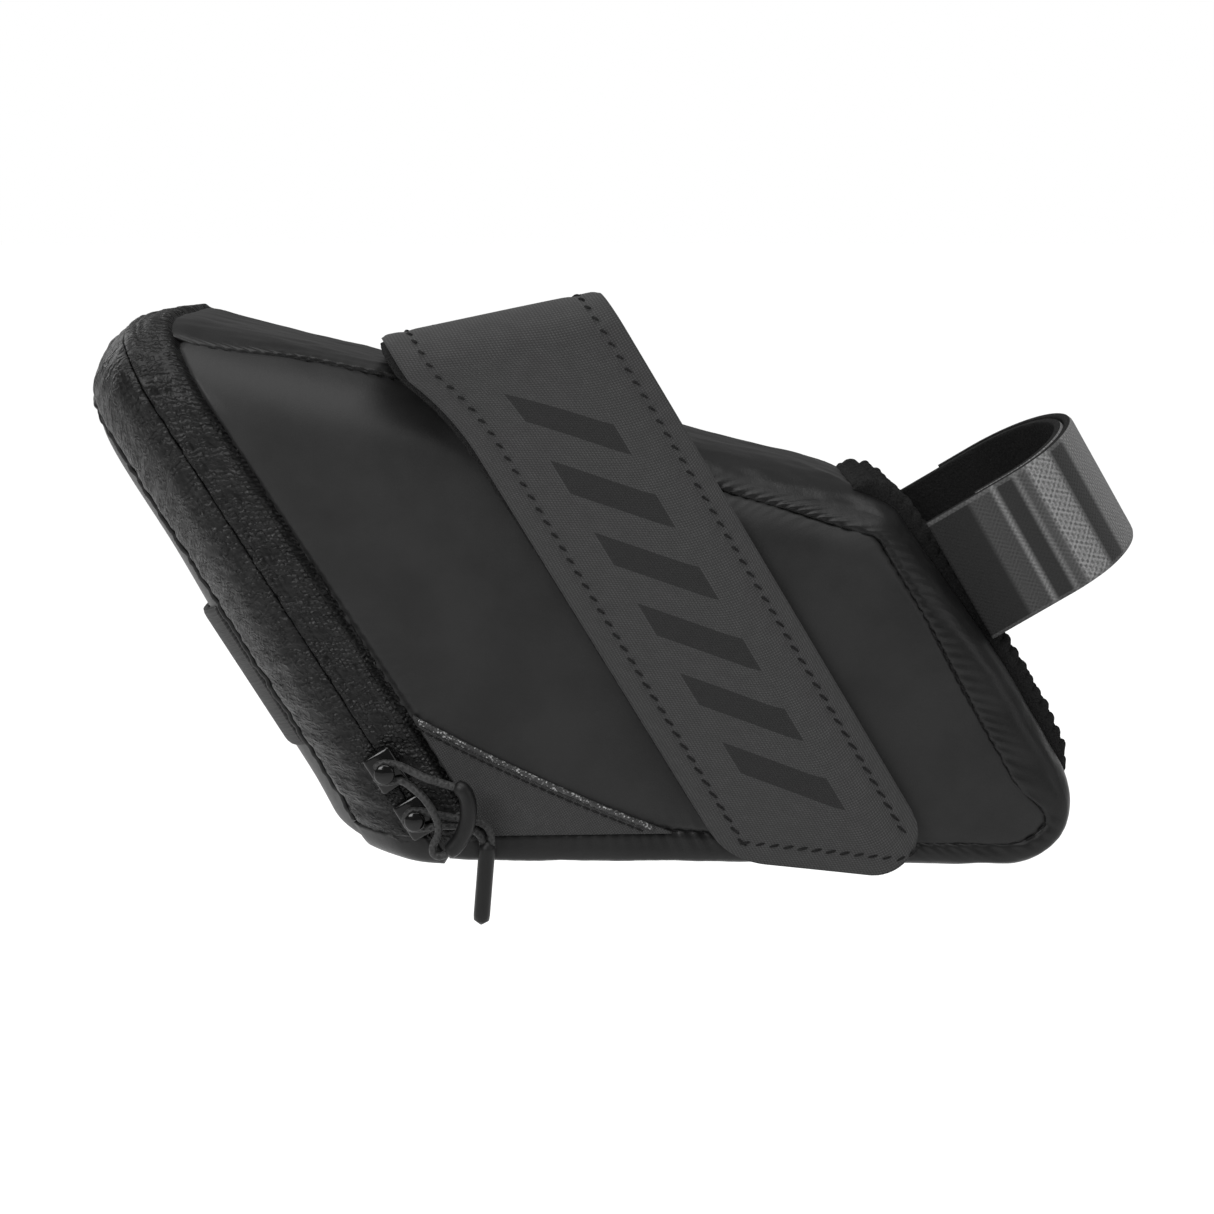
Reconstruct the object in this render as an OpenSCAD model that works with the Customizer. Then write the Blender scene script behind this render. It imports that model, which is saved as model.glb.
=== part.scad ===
// Bicycle saddle bag, hung from the saddle rails and strapped to the seat post.
// Origin: centre of the seat-post loop. +X points forward to the seat post, +Z is up.
// The leaned frame used below is the bag turned by its lean: its x runs forward, square
// to the front wall, and its z runs up along the seat post.

/* [Bag body] */
// Lean of the front wall, the rear wall and the seat post from the vertical
lean = 31; // [24:1:36]
// Fall of the top panel towards the seat post
top_fall = 13.6; // [10:0.2:18]
// Height of the seat-post loop's centre above the base
loop_height = 66; // [62:1:72]
// Distance from the loop's centre up to the line of the top panel
top_reach = 3; // [0:0.5:8]
// Distance from the loop's centre back to the front wall
front_gap = 19.5; // [19.5:0.5:24]
// Distance from the loop's centre back to the middle of the rear wall
rear_reach = 160; // [155:1:170]
// Distance from the loop's centre back to the zip's line
zip_reach = 138.5; // [136:0.5:140]
// Width of the bag at the zip
rear_w = 76; // [70:1:84]
// Taper of each side wall towards the front
taper = 5.6; // [4:0.2:7]
// Width of the side's seam margin, where the gusset wraps onto the side
seam_margin = 6; // [4:0.5:8]
// Width of each half of the coated zip band
band_w = 9.5; // [8:0.5:11]

/* [Wall] */
// Thickness of the outer laminate
skin_t = 1.6; // [1.2:0.1:2]
// Thickness of the boards and foam inside
board_t = 1.4; // [1:0.1:2]
// Gap between the lid and the bag along the zip
zip_gap = 0.6; // [0.5:0.1:1]

/* [Main strap] */
// Width of the main strap's webbing
strap_w = 38; // [34:1:40]
// Distance from the loop's centre back to the middle of the main strap
strap_reach = 70.5; // [66:0.5:76]
// Thickness of the main strap
strap_t = 2.4; // [2:0.1:3]
// Tilt of the strap's crest against its own length
crest_tilt = 19.3; // [10:0.5:24]
// Distance of the strap's crest bend from the loop's centre
crest_reach = 60.5; // [60:0.5:66]

/* [Seat-post strap] */
// Radius of the seat post that the loop holds
post_r = 15.9; // [13.6:0.1:15.9]
// Width of the seat-post strap's webbing
post_strap_w = 25; // [20:1:28]
// Thickness of each layer of the seat-post strap
post_strap_t = 1.8; // [1.4:0.1:2]
// Thickness of the grip pad on the front wall
pad_t = 3.3; // [2.8:0.1:3.5]
// Width of the grip pad
pad_w = 40; // [30:1:44]

/* [Zip] */
// Height of the lower slider along the zip
slider_low = 19.5; // [18:0.5:24]
// Distance between the two sliders when closed
slider_pitch = 11.5; // [11:0.5:14]
// Diameter of the pull cords
cord_d = 1.6; // [1.4:0.1:1.8]
// Diameter of the rubber pull tubes
tube_d = 3.4; // [3:0.1:3.4]

/* [Hidden] */
$fn = 48;

far = 400;                       // longer than anything on the bag
half_w = rear_w / 2;
knee = -zip_reach + 11.5;        // where the straight sides start to taper
taper_reach = knee * sin(taper) + half_w * cos(taper);
band_front = -zip_reach + band_w;
band_rear = -zip_reach - band_w;
crown_r = 49.2;                  // radius of the bulging rear wall
crown_c = crown_r - rear_reach;
edge_r = 8;                      // radius of the upright edges
edge_c = crown_c - sqrt(pow(crown_r - edge_r, 2) - pow(half_w - edge_r, 2));
edge_a = atan2(half_w - edge_r, edge_c - crown_c);
base_front_r = 7;
front_top_r = 12;
top_rear_r = 16;
rear_base_r = 9;
base_zone = 8;                   // height of the corner that belongs to the base
top_angle = 90 - top_fall;
tape_w = 5;
strap_back = strap_reach + strap_w / 2;
strap_front = strap_reach - strap_w / 2;
strap_gap = 1.2;                 // the flap rides this far off the side wall
bend_r = 6;                      // inner radius of the strap's bends over the crest
clear = 0.4;                     // gap between pieces that move past each other
slider_w = 7;
slider_l = 9;
slider_t = 2.6;
pivot_r = 1.0;
cap_r = 2.2;
cord_y = 4.0;                    // cord loops pass this far outside the zip band

// Routes of the pull cords in each pull's own frame: x forward, y up, z outward, with the
// slider's post at the origin. The lower cord's two ends finish inside its tube. The upper
// cord starts at its post, runs right through the bent tube and comes back to the post.
lower_route = [
    [14.85, -11, 0.2], [15.35, -5, 0.2], [14.6, -1.6, 0.2], [12, -0.2, 0.2], [7, 0.6, 0.1],
    [2.5, 1.5, 0], [0.7, 1.85, 0], [-0.9, 1.75, 0], [-1.9, 0.6, 0], [-1.9, -0.6, 0],
    [-0.9, -1.75, 0], [0.7, -1.85, 0], [2.5, -1.6, 0], [7, -1.2, 0.1], [11, -1.8, 0.2],
    [13.2, -3.4, 0.2], [13.6, -6, 0.2], [13.15, -11, 0.2]
];
upper_tube_route = [
    [13.9, -1.7, 3.9], [15.6, -2.2, 3.9], [16.7, -4.0, 3.9], [17.0, -6.8, 3.9],
    [16.6, -9.6, 3.9], [15.5, -12.3, 3.9], [13.8, -14.6, 3.9], [12.2, -15.8, 3.9]
];
upper_out = [
    [-1.95, 0.87, 0], [-0.9, 1.8, 0], [0.7, 1.95, 0], [3.2, 1.4, 0], [8.2, 0.2, 3.9], [11, -0.8, 3.9]
];
upper_back = [
    [11.0, -16.3, 3.9], [9.8, -15.6, 3.9], [9.8, -14.0, 3.9], [10.9, -11.4, 3.9], [10.6, -8.6, 3.9],
    [8.6, -4.8, 3.9], [6.0, -2.6, 2.6], [3.2, -1.7, 0], [0.7, -1.95, 0], [-0.9, -1.8, 0],
    [-1.95, -0.87, 0]
];
lower_tube_start = [14.6, -4.2];
lower_tube_angle = -95;
lower_tube_l = 18;

// ---- geometry helpers -------------------------------------------------------------

function ray(a) = [cos(a), sin(a)];

// Crossing of two lines, each given by the angle of its normal and its distance
function meet(a1, d1, a2, d2) =
    [d1 * sin(a2) - d2 * sin(a1), d2 * cos(a1) - d1 * cos(a2)] / sin(a2 - a1);

function arc(c, r, a1, a2, n = 8) = [for (k = [0:n]) c + r * ray(a1 + (a2 - a1) * k / n)];

// Rounded corner between two such lines, all set inwards
function corner(a1, d1, a2, d2, r, inset) =
    r - inset > 0.1
        ? arc(meet(a1, d1 - r, a2, d2 - r), r - inset, a1, a2)
        : [meet(a1, d1 - inset, a2, d2 - inset)];

// Side view of the bag, x forward and y up, set inwards
function outline(i) = concat(
    corner(270, loop_height, 360 + lean, -front_gap, base_front_r, i),
    corner(lean, -front_gap, top_angle, top_reach, front_top_r, i),
    corner(top_angle, top_reach, 180 + lean, rear_reach, top_rear_r, i),
    corner(180 + lean, rear_reach, 270, loop_height, rear_base_r, i)
);

// Section square to the seat post, x forward and y to the left, set inwards
function plan(i) = concat(
    corner(0, -front_gap, 90 - taper, taper_reach, edge_r, i),
    corner(90 - taper, taper_reach, 90, half_w, 0, i),
    arc([edge_c, half_w - edge_r], edge_r - i, 90, edge_a),
    arc([crown_c, 0], crown_r - i, edge_a, 360 - edge_a, 16),
    arc([edge_c, edge_r - half_w], edge_r - i, 360 - edge_a, 270),
    corner(270, half_w, 270 + taper, taper_reach, 0, i),
    corner(270 + taper, taper_reach, 360, -front_gap, edge_r, i)
);

module leaned() rotate([0, -lean, 0]) children();

// Extrudes a side-view shape across the bag
module across(width = far) rotate([90, 0, 0]) linear_extrude(width, center = true) children();

// The bag's closed form, set inwards
module form(i) intersection() {
    leaned() linear_extrude(far, center = true) polygon(plan(i));
    across() polygon(outline(i));
}

// Space between two planes square to the leaned frame's x
module slice(from, to) leaned() translate([from, -far / 2, -far / 2]) cube([to - from, far, far]);

// Space below a level of the row frame
module below(level) translate([-far, -far / 2, level - far]) cube([2 * far, far, far]);

module right_half() translate([-far, -far, -far]) cube([2 * far, far, 2 * far]);

// Puts children, drawn for the right side, on the left
module opposite() mirror([0, 1, 0]) children();

// Frame on the right side wall: x forward along it, z up along the seat post, -y outward
module on_side() leaned() translate([knee, -half_w, 0]) rotate([0, 0, taper])
    translate([-knee, 0, 0]) children();

// Plate on the right side wall between two distances outwards
module plate(from, to) on_side() rotate([90, 0, 0]) translate([0, 0, from])
    linear_extrude(to - from) children();

module skin() difference() {
    form(0);
    form(skin_t);
}

module lining_layer() difference() {
    form(skin_t);
    form(skin_t + board_t);
}

base_level = -loop_height + base_zone;

// ---- sewn shell of the bag --------------------------------------------------------

module side_panel() intersection() {
    skin();
    across() polygon(outline(seam_margin));
    slice(band_front, far);
    right_half();
}

module gusset() intersection() {
    difference() {
        skin();
        across() polygon(outline(seam_margin));
    }
    slice(band_front, far);
}

front_start = -front_gap - front_top_r;

module side_panel_right() color([0.07, 0.07, 0.08]) side_panel();

module side_panel_left() color([0.07, 0.07, 0.08]) opposite() side_panel();

module top_panel() color([0.08, 0.08, 0.09]) difference() {
    gusset();
    slice(front_start, far);
    below(base_level);
}

module front_panel() color([0.08, 0.08, 0.09]) intersection() {
    gusset();
    slice(front_start, far);
}

// Space that belongs to the base: the corner's height, up to the front panel
module base_space() intersection() {
    below(base_level);
    slice(-far, front_start);
}

module base_panel() color([0.06, 0.06, 0.07]) intersection() {
    union() {
        gusset();
        intersection() {
            skin();
            slice(-zip_reach + zip_gap / 2, band_front);
        }
    }
    base_space();
}

module side_board() intersection() {
    lining_layer();
    across() polygon(outline(seam_margin));
    slice(-zip_reach + tape_w + 1, far);
    right_half();
}

module side_board_right() color([0.2, 0.2, 0.22]) side_board();

module side_board_left() color([0.2, 0.2, 0.22]) opposite() side_board();

module base_board() color([0.25, 0.25, 0.27]) intersection() {
    form(skin_t);
    below(-loop_height + skin_t + board_t);
    slice(-zip_reach + tape_w + 1, -front_gap - skin_t - board_t);
}

module front_board() color([0.25, 0.25, 0.27]) difference() {
    intersection() {
        form(skin_t);
        slice(-front_gap - skin_t - board_t, far);
    }
    below(-loop_height + skin_t);
}

// ---- zip and its coated band ------------------------------------------------------

// A strip of one layer between two distances along the leaned x, leaving the base open
module zip_strip(from, to) difference() {
    intersection() {
        children();
        slice(from, to);
    }
    below(base_level);
}

module zip_band_bag() color([0.1, 0.1, 0.11])
    zip_strip(-zip_reach + zip_gap / 2, band_front) skin();

module zip_band_lid() color([0.1, 0.1, 0.11])
    zip_strip(band_rear, -zip_reach - zip_gap / 2) skin();

module zip_tape_bag() color([0.15, 0.15, 0.16])
    zip_strip(-zip_reach + zip_gap / 2, -zip_reach + tape_w) lining_layer();

module zip_tape_lid() color([0.15, 0.15, 0.16])
    zip_strip(-zip_reach - tape_w, -zip_reach - zip_gap / 2) lining_layer();

// Folded tabs over the two lower ends of the zip, inside the bag's half
module zip_end_stops() color([0.05, 0.05, 0.05]) {
    end_stop();
    opposite() end_stop();
}

module end_stop() leaned()
    translate([-zip_reach + zip_gap / 2, skin_t + board_t - half_w, slider_low - 3])
        cube([4, 1.2, 6]);

// ---- reflective patches on the lower rear corners ---------------------------------

patch_top = [band_front + 0.3, 38];
patch_toe = [-95.8, -11.9];
patch_heel = [band_front + 0.3, 8.2];
patch_t = 0.8;
edge_t = 0.5;
edging_w = 2;

module corner_patch() plate(0, patch_t) polygon([patch_top, patch_heel, patch_toe]);

module reflective_edge() {
    along = (patch_toe - patch_top) / norm(patch_toe - patch_top);
    inward = edging_w * [along[1], -along[0]];
    plate(patch_t, patch_t + edge_t)
        polygon([patch_top, patch_top + inward + 2 * along, patch_toe + inward - 2 * along, patch_toe]);
}

module corner_patch_right() color([0.25, 0.25, 0.26]) corner_patch();

module corner_patch_left() color([0.25, 0.25, 0.26]) opposite() corner_patch();

module reflective_edge_right() color([0.6, 0.6, 0.62]) reflective_edge();

module reflective_edge_left() color([0.6, 0.6, 0.62]) opposite() reflective_edge();

// ---- grip pad and seat-post strap -------------------------------------------------

module grip_pad() color([0.04, 0.04, 0.04]) difference() {
    intersection() {
        across(pad_w) difference() {
            polygon(outline(-pad_t));
            polygon(outline(0));
        }
        slice(-front_gap - front_top_r - 6, far);
    }
    below(-loop_height + 5);
}

module post_layer() leaned() linear_extrude(post_strap_w, center = true) children();

// Half ring in front of the post's centre
module half_ring(r, t) intersection() {
    difference() {
        circle(r + t, $fn = 96);
        circle(r, $fn = 96);
    }
    translate([0, -far / 2]) square(far);
}

outer_r = post_r + post_strap_t + clear;
leg_l = front_gap - pad_t;

module post_strap_inner() color([0.3, 0.3, 0.32]) post_layer() {
    half_ring(post_r, post_strap_t);
    translate([-leg_l, post_r]) square([leg_l, post_strap_t]);
    translate([-7, -post_r - post_strap_t]) square([7, post_strap_t]);
}

module post_strap_outer() color([0.2, 0.2, 0.22]) post_layer()
    translate([-leg_l, -outer_r - post_strap_t]) square([leg_l, post_strap_t]);

module post_strap_tail() color([0.35, 0.35, 0.37]) post_layer() {
    difference() {
        half_ring(outer_r, post_strap_t);
        translate([-1, -far]) square([1 + clear, far]);
    }
    translate([-8, outer_r]) square([8, post_strap_t]);
}

// ---- main strap over the saddle rails ---------------------------------------------

crest_angle = 90 - crest_tilt;
down_angle = 270 - lean;

// Outline of a strap length on the side: its crest line, its lower end and its corners
function strap_outline(crest, drop, back_r, front_r) = concat(
    corner(down_angle, drop, 360, -strap_front, front_r, 0),
    corner(0, -strap_front, crest_angle, crest, 0, 0),
    corner(crest_angle, crest, 180, strap_back, 0, 0),
    corner(180, strap_back, down_angle, drop, back_r, 0)
);

module hook_patch() color([0.03, 0.03, 0.03]) plate(0, 0.8)
    translate([-strap_back + 4, -22]) square([strap_w - 8, 60]);

module main_strap_flap() color([0.22, 0.22, 0.24]) plate(strap_gap, strap_gap + strap_t)
    polygon(strap_outline(crest_reach - 0.5, loop_height, 13, 7));

module main_strap_left() color([0.22, 0.22, 0.24]) opposite() plate(strap_gap, strap_gap + strap_t)
    polygon(strap_outline(crest_reach, 20, 0, 0));

// Section of the strap turning inwards over the crest, x inwards and y up
function bend_section() = concat(
    arc([bend_r - strap_gap, 0], bend_r + strap_t, 180, 90),
    [[far / 4, bend_r + strap_t], [far / 4, bend_r]],
    arc([bend_r - strap_gap, 0], bend_r, 90, 180)
);

module half_bridge() intersection() {
    on_side() rotate([0, crest_tilt, 0]) translate([0, 0, crest_reach]) rotate([90, 0, 90])
        linear_extrude(far, center = true) polygon(bend_section());
    slice(-strap_back, -strap_front);
    right_half();
}

module main_strap_bridge() color([0.22, 0.22, 0.24]) {
    half_bridge();
    opposite() half_bridge();
}

// ---- lid --------------------------------------------------------------------------

module lid_base_flap() color([0.06, 0.06, 0.07]) intersection() {
    skin();
    slice(band_rear, -zip_reach - zip_gap / 2);
    below(base_level);
}

module rear_panel() color([0.07, 0.07, 0.08]) intersection() {
    skin();
    slice(-far, band_rear);
}

module rear_board() color([0.25, 0.25, 0.27]) intersection() {
    lining_layer();
    slice(-far, band_rear - 1);
    across() polygon(outline(skin_t + board_t));
}

loop_r = 27.1;
loop_t = 1.6;
loop_stand_off = 3;

// Webbing loop for a tail light, open above and below
module light_loop() color([0.05, 0.05, 0.05]) leaned() translate([0, 0, 42])
    linear_extrude(34) difference() {
        translate([-rear_reach - loop_stand_off + loop_r, 0]) circle(loop_r + loop_t, $fn = 96);
        translate([-rear_reach - loop_stand_off + loop_r, 0]) circle(loop_r, $fn = 96);
        translate([crown_c, 0]) circle(crown_r, $fn = 180);
        translate([-rear_reach + 12, -far / 2]) square(far);
    }

// ---- sliders and pulls ------------------------------------------------------------

// Frame at a slider's place on the zip: y outwards
module at_slider(w) leaned() translate([-zip_reach, -half_w, w]) rotate([90, 0, 0]) children();

module slider(w) at_slider(w) {
    translate([-slider_w / 2, -slider_l / 2, clear]) cube([slider_w, slider_l, slider_t]);
    cylinder(r = pivot_r, h = cord_y + 1);
    translate([0, 0, cord_y + 1]) cylinder(r = cap_r, h = 0.8);
}

module slider_lower() color([0.05, 0.05, 0.05]) slider(slider_low);

module slider_upper() color([0.05, 0.05, 0.05]) slider(slider_low + slider_pitch);

// Frame of a pull, level with the row frame: x forward, y up, z outwards
module at_pull(w) at_slider(w) rotate([0, 0, -lean]) translate([0, 0, cord_y]) children();

// Closed tube swept along a route of points
function unit(v) = v / norm(v);
function heading(p, k) = unit(p[min(k + 1, len(p) - 1)] - p[max(k - 1, 0)]);
function side_of(h) = unit(cross(h, [0, 0, 1]));
function ring(c, h, r, n) = let (a = side_of(h), b = cross(a, h))
    [for (k = [0:n - 1]) c + r * (a * cos(360 * k / n) + b * sin(360 * k / n))];

module sweep(route, d, n = 8) {
    rings = len(route);
    points = [for (k = [0:rings - 1]) each ring(route[k], heading(route, k), d / 2, n)];
    sides = [for (k = [0:rings - 2], j = [0:n - 1])
        [k * n + j, k * n + (j + 1) % n, (k + 1) * n + (j + 1) % n, (k + 1) * n + j]];
    caps = [[for (j = [n - 1:-1:0]) j], [for (j = [0:n - 1]) (rings - 1) * n + j]];
    polyhedron(points, concat(sides, caps), convexity = 6);
}

module pull_cord_lower() color([0.08, 0.08, 0.08]) at_pull(slider_low)
    sweep(lower_route, cord_d);

module pull_cord_upper() color([0.08, 0.08, 0.08]) at_pull(slider_low + slider_pitch)
    sweep(concat(upper_out, upper_tube_route, upper_back), cord_d);

module pull_tube_lower() color([0.02, 0.02, 0.02]) at_pull(slider_low)
    translate([lower_tube_start[0], lower_tube_start[1], 0.2]) rotate([0, 90, lower_tube_angle])
        cylinder(d = tube_d, h = lower_tube_l);

module pull_tube_upper() color([0.02, 0.02, 0.02]) at_pull(slider_low + slider_pitch)
    sweep(upper_tube_route, tube_d, 16);

side_panel_right();
side_panel_left();
top_panel();
front_panel();
base_panel();
side_board_right();
side_board_left();
base_board();
front_board();
zip_band_bag();
zip_tape_bag();
zip_end_stops();
corner_patch_right();
corner_patch_left();
reflective_edge_right();
reflective_edge_left();
grip_pad();
hook_patch();
main_strap_left();
main_strap_bridge();
main_strap_flap();
post_strap_inner();
post_strap_outer();
post_strap_tail();
zip_band_lid();
zip_tape_lid();
lid_base_flap();
rear_panel();
rear_board();
light_loop();
slider_lower();
slider_upper();
pull_cord_lower();
pull_cord_upper();
pull_tube_lower();
pull_tube_upper();
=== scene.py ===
"""Looks of a bicycle saddle bag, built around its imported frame.

Lengths are worked out in millimetres in the row frame and become metres when a mesh is made.
The leaned frame is the bag turned by its lean: s runs forward, w up along the seat post.
"""
import math

import bmesh
import bpy
import numpy as np
from mathutils import Matrix, Vector


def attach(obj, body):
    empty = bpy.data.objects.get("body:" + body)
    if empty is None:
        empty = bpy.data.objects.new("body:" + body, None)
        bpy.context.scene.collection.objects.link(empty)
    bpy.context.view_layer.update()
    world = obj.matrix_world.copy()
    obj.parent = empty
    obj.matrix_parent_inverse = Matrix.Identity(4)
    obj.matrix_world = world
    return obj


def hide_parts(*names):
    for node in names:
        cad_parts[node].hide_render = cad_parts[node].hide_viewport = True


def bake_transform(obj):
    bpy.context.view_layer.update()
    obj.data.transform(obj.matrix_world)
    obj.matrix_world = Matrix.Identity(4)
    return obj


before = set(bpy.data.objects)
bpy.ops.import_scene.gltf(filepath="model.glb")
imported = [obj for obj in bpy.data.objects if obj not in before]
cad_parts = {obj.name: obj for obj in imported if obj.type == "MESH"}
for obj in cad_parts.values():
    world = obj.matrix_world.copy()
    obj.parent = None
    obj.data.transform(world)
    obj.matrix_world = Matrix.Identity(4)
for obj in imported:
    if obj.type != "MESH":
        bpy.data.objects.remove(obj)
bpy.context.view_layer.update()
MM = 0.001
STEP = 0.8                        # how far apart a panel's rows are
WAVE = 6.283                      # one full wave, in radians

# ---- camera -------------------------------------------------------------------------

camera_data = bpy.data.cameras.new("camera")
camera_data.lens, camera_data.sensor_width = 59.3, 36.0
camera_data.clip_start, camera_data.clip_end = 0.01, 20.0
camera = bpy.data.objects.new("camera", camera_data)
bpy.context.scene.collection.objects.link(camera)
camera.location = (-0.090, -0.4302, 0.0669)
CAMERA_TARGET = Vector((-0.090, -0.038, -0.0115))
camera.rotation_euler = (CAMERA_TARGET - camera.location).to_track_quat("-Z", "Y").to_euler()
bpy.context.scene.camera = camera
bpy.context.scene.view_settings.view_transform = "Standard"

# ---- the bag's frame and walls --------------------------------------------------------

LEAN = math.radians(31)
COS, SIN = math.cos(LEAN), math.sin(LEAN)
TAPER = math.radians(5.6)
HALF_W, KNEE = 38.0, -127.0
BASE_Z, BASE_LEVEL = -66.0, -58.0
TOP_TURN, TOP_REACH = math.radians(76.4), 3.0
ZIP_S, BAND_FRONT, BAND_REAR = -138.5, -129.0, -152.0
CROWN_R, CROWN_C = 49.2, -112.2
EDGE_R, EDGE_C = 8.0, -140.4
EDGE_TURN = math.radians(133.2)
EDGE_Y = HALF_W - EDGE_R
TAPER_REACH = KNEE * math.sin(TAPER) + HALF_W * math.cos(TAPER)
NOSE_S, NOSE_R = -14.5, 12.0        # the section's front, eased forward so that it rounds only its edges
REAR_LEAN, REAR_FOOT = 0.025, 30.0   # the rear eases forward by this share of the height above its foot
REAR_START, REAR_REACH = -125.0, 15.0
LOW_REACH, HIGH_REACH = 16.0, 34.0   # how far up from the base, and down from the top, the rounding changes
SLIT = 0.1                        # half the zip's slit
ROUNDING = (3.0, 6.0, 25.0)       # how softly the walls meet at the base, half way up, and at the top
# The side view's walls: normal's angle, distance, and radius of the corner after it
WALLS = ((268.06, 68.95, 13.5), (31.0, -19.5, 12.0), (76.4, 2.2, 19.0), (209.6, 161.8, 5.0))


def row(s, y, w):
    """Leaned frame to row frame."""
    s, y, w = np.broadcast_arrays(*(np.asarray(v, float) for v in (s, y, w)))
    return np.stack([COS * s - SIN * w, y, SIN * s + COS * w], -1)


def leaned(p):
    """Row frame to leaned frame."""
    return COS * p[..., 0] + SIN * p[..., 2], p[..., 1], -SIN * p[..., 0] + COS * p[..., 2]


def on_side(along, out, w, side=-1):
    """A side wall's own frame: along it, outwards from it, and up the post. side is -1 or 1."""
    s = KNEE + (along - KNEE) * math.cos(TAPER) + out * math.sin(TAPER)
    y = -HALF_W + (along - KNEE) * math.sin(TAPER) - out * math.cos(TAPER)
    return row(s, -side * y, w)


def meet(a1, d1, a2, d2):
    """Where two lines cross, each given by its normal's angle in degrees and its distance."""
    a1, a2 = math.radians(a1), math.radians(a2)
    across, up = d1 * math.sin(a2) - d2 * math.sin(a1), d2 * math.cos(a1) - d1 * math.cos(a2)
    return np.array([across, up]) / math.sin(a2 - a1)


def corners():
    """Each corner of the side view: centre, radius, and the angles it turns between."""
    for k, (a1, d1, r) in enumerate(WALLS):
        a2, d2, _ = WALLS[(k + 1) % len(WALLS)]
        yield meet(a1, d1 - r, a2, d2 - r), r, a1, a1 + (a2 - a1) % 360


def outline_depth(x, z):
    """Signed distance outside the rounded side view."""
    d = np.max([x * math.cos(math.radians(a)) + z * math.sin(math.radians(a)) - e for a, e, _ in WALLS], 0)
    for (cx, cz), r, a1, a2 in corners():
        turn = (np.degrees(np.arctan2(z - cz, x - cx)) - a1) % 360
        d = np.where(turn < a2 - a1, np.hypot(x - cx, z - cz) - r, d)
    return d


def plan_depth(s, y):
    """Signed distance outside the section square to the seat post."""
    y = np.abs(y)
    side = np.maximum(s * math.sin(TAPER) + y * math.cos(TAPER) - TAPER_REACH, y - HALF_W)
    d = np.maximum(side, s - NOSE_S)
    cx, cy = meet(0, NOSE_S - NOSE_R, 90 - math.degrees(TAPER), TAPER_REACH - NOSE_R)
    turn = np.arctan2(y - cy, s - cx)
    d = np.where((turn > 0) & (turn < math.pi / 2 - TAPER), np.hypot(s - cx, y - cy) - NOSE_R, d)
    back = np.arctan2(y - EDGE_Y, s - EDGE_C)
    edge = np.hypot(s - EDGE_C, y - EDGE_Y) - EDGE_R
    crown = np.hypot(s - CROWN_C, y) - CROWN_R
    on_edge = (s < EDGE_C) & (back > math.pi / 2) & (back < EDGE_TURN)
    return np.where(on_edge, edge, np.where(s < EDGE_C, np.maximum(crown, y - HALF_W), d))


def eased(t):
    """0 up to 0 and 1 from 1 on, smoothly between."""
    t = np.clip(t, 0, 1)
    return t * t * (3 - 2 * t)


def top_height(p):
    """How far a point is along the top panel's normal."""
    return p[..., 0] * math.cos(TOP_TURN) + p[..., 2] * math.sin(TOP_TURN)


def depth(p):
    """Distance outside the bag's soft form."""
    s, y, w = leaned(p)
    s = s - REAR_LEAN * (w - REAR_FOOT) * eased((REAR_START - s) / REAR_REACH)
    a, b = outline_depth(p[..., 0], p[..., 2]), plan_depth(s, y)
    low = eased((p[..., 2] - BASE_Z) / LOW_REACH)
    high = eased(1 - (TOP_REACH - top_height(p)) / HIGH_REACH)
    soft = ROUNDING[0] + (ROUNDING[1] - ROUNDING[0]) * low + (ROUNDING[2] - ROUNDING[1]) * high * low
    h = np.maximum(soft - np.abs(a - b), 0) / soft
    return np.maximum(a, b) + h * h * soft / 4


def outward(p, step=0.3):
    """Unit normal of the soft form."""
    g = np.stack([depth(p + e) - depth(p - e) for e in np.eye(3) * step], -1)
    return g / np.maximum(np.linalg.norm(g, axis=-1, keepdims=True), 1e-6)


def settle(p, rounds=8):
    """Moves points onto the soft form."""
    for _ in range(rounds):
        p = p - np.clip(depth(p), -4, 4)[..., None] * outward(p)
    return p


def seam_inset(x, z):
    """How far the gusset wraps onto each side there: least along the top, most down the front."""
    front = eased((COS * x + SIN * z + 45.0) / 14.0)
    top = 1.3 + 2.3 * eased((-145.0 - x) / 27.0) + 6.6 * eased((x + 128.0) / 75.0)
    nose = 9.4 + 1.6 * eased(-z / 55.0)
    foot = 7.2 - 2.2 * eased((x + 80.0) / 40.0)
    low = eased((-52.0 - z) / 8.0)
    return (top + (nose - top) * front) * (1 - low) + foot * low


def beyond_seam(x, z):
    """Signed distance outside the seam, in the side view."""
    return outline_depth(x, z) + seam_inset(x, z)


def wall_y(x, z):
    """Half the bag's width at that place in the side view."""
    low, high = np.zeros(np.shape(x)), np.full(np.shape(x), 44.0)
    for _ in range(24):
        mid = (low + high) / 2
        inside = depth(np.stack([x, mid, z], -1)) < 0
        low, high = np.where(inside, mid, low), np.where(inside, high, mid)
    return low


def outline_path():
    """Points along the side view, from the base's front corner round over the top and back."""
    points = []
    for centre, r, a1, a2 in corners():
        for a in np.radians(np.linspace(a1, a2, 14)):
            points.append(centre + r * np.array([math.cos(a), math.sin(a)]))
    return resample(np.array(points + points[:1]), STEP)


def distance_along(line):
    """How far along a line each of its points is."""
    return np.r_[0, np.cumsum(np.linalg.norm(np.diff(line, axis=0), axis=1))]


def even_rows(line, count):
    """The same line as that many evenly spaced points."""
    run = distance_along(line)
    at = np.linspace(0, run[-1], count)
    return np.stack([np.interp(at, run, line[:, k]) for k in range(line.shape[1])], -1)


def resample(points, step):
    """The same line in even steps."""
    points = np.asarray(points, float)
    gaps = np.linalg.norm(np.diff(points, axis=0), axis=1)
    points = points[np.r_[True, gaps > 1e-6]]
    return even_rows(points, max(2, int(round(distance_along(points)[-1] / step)) + 1))


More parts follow.
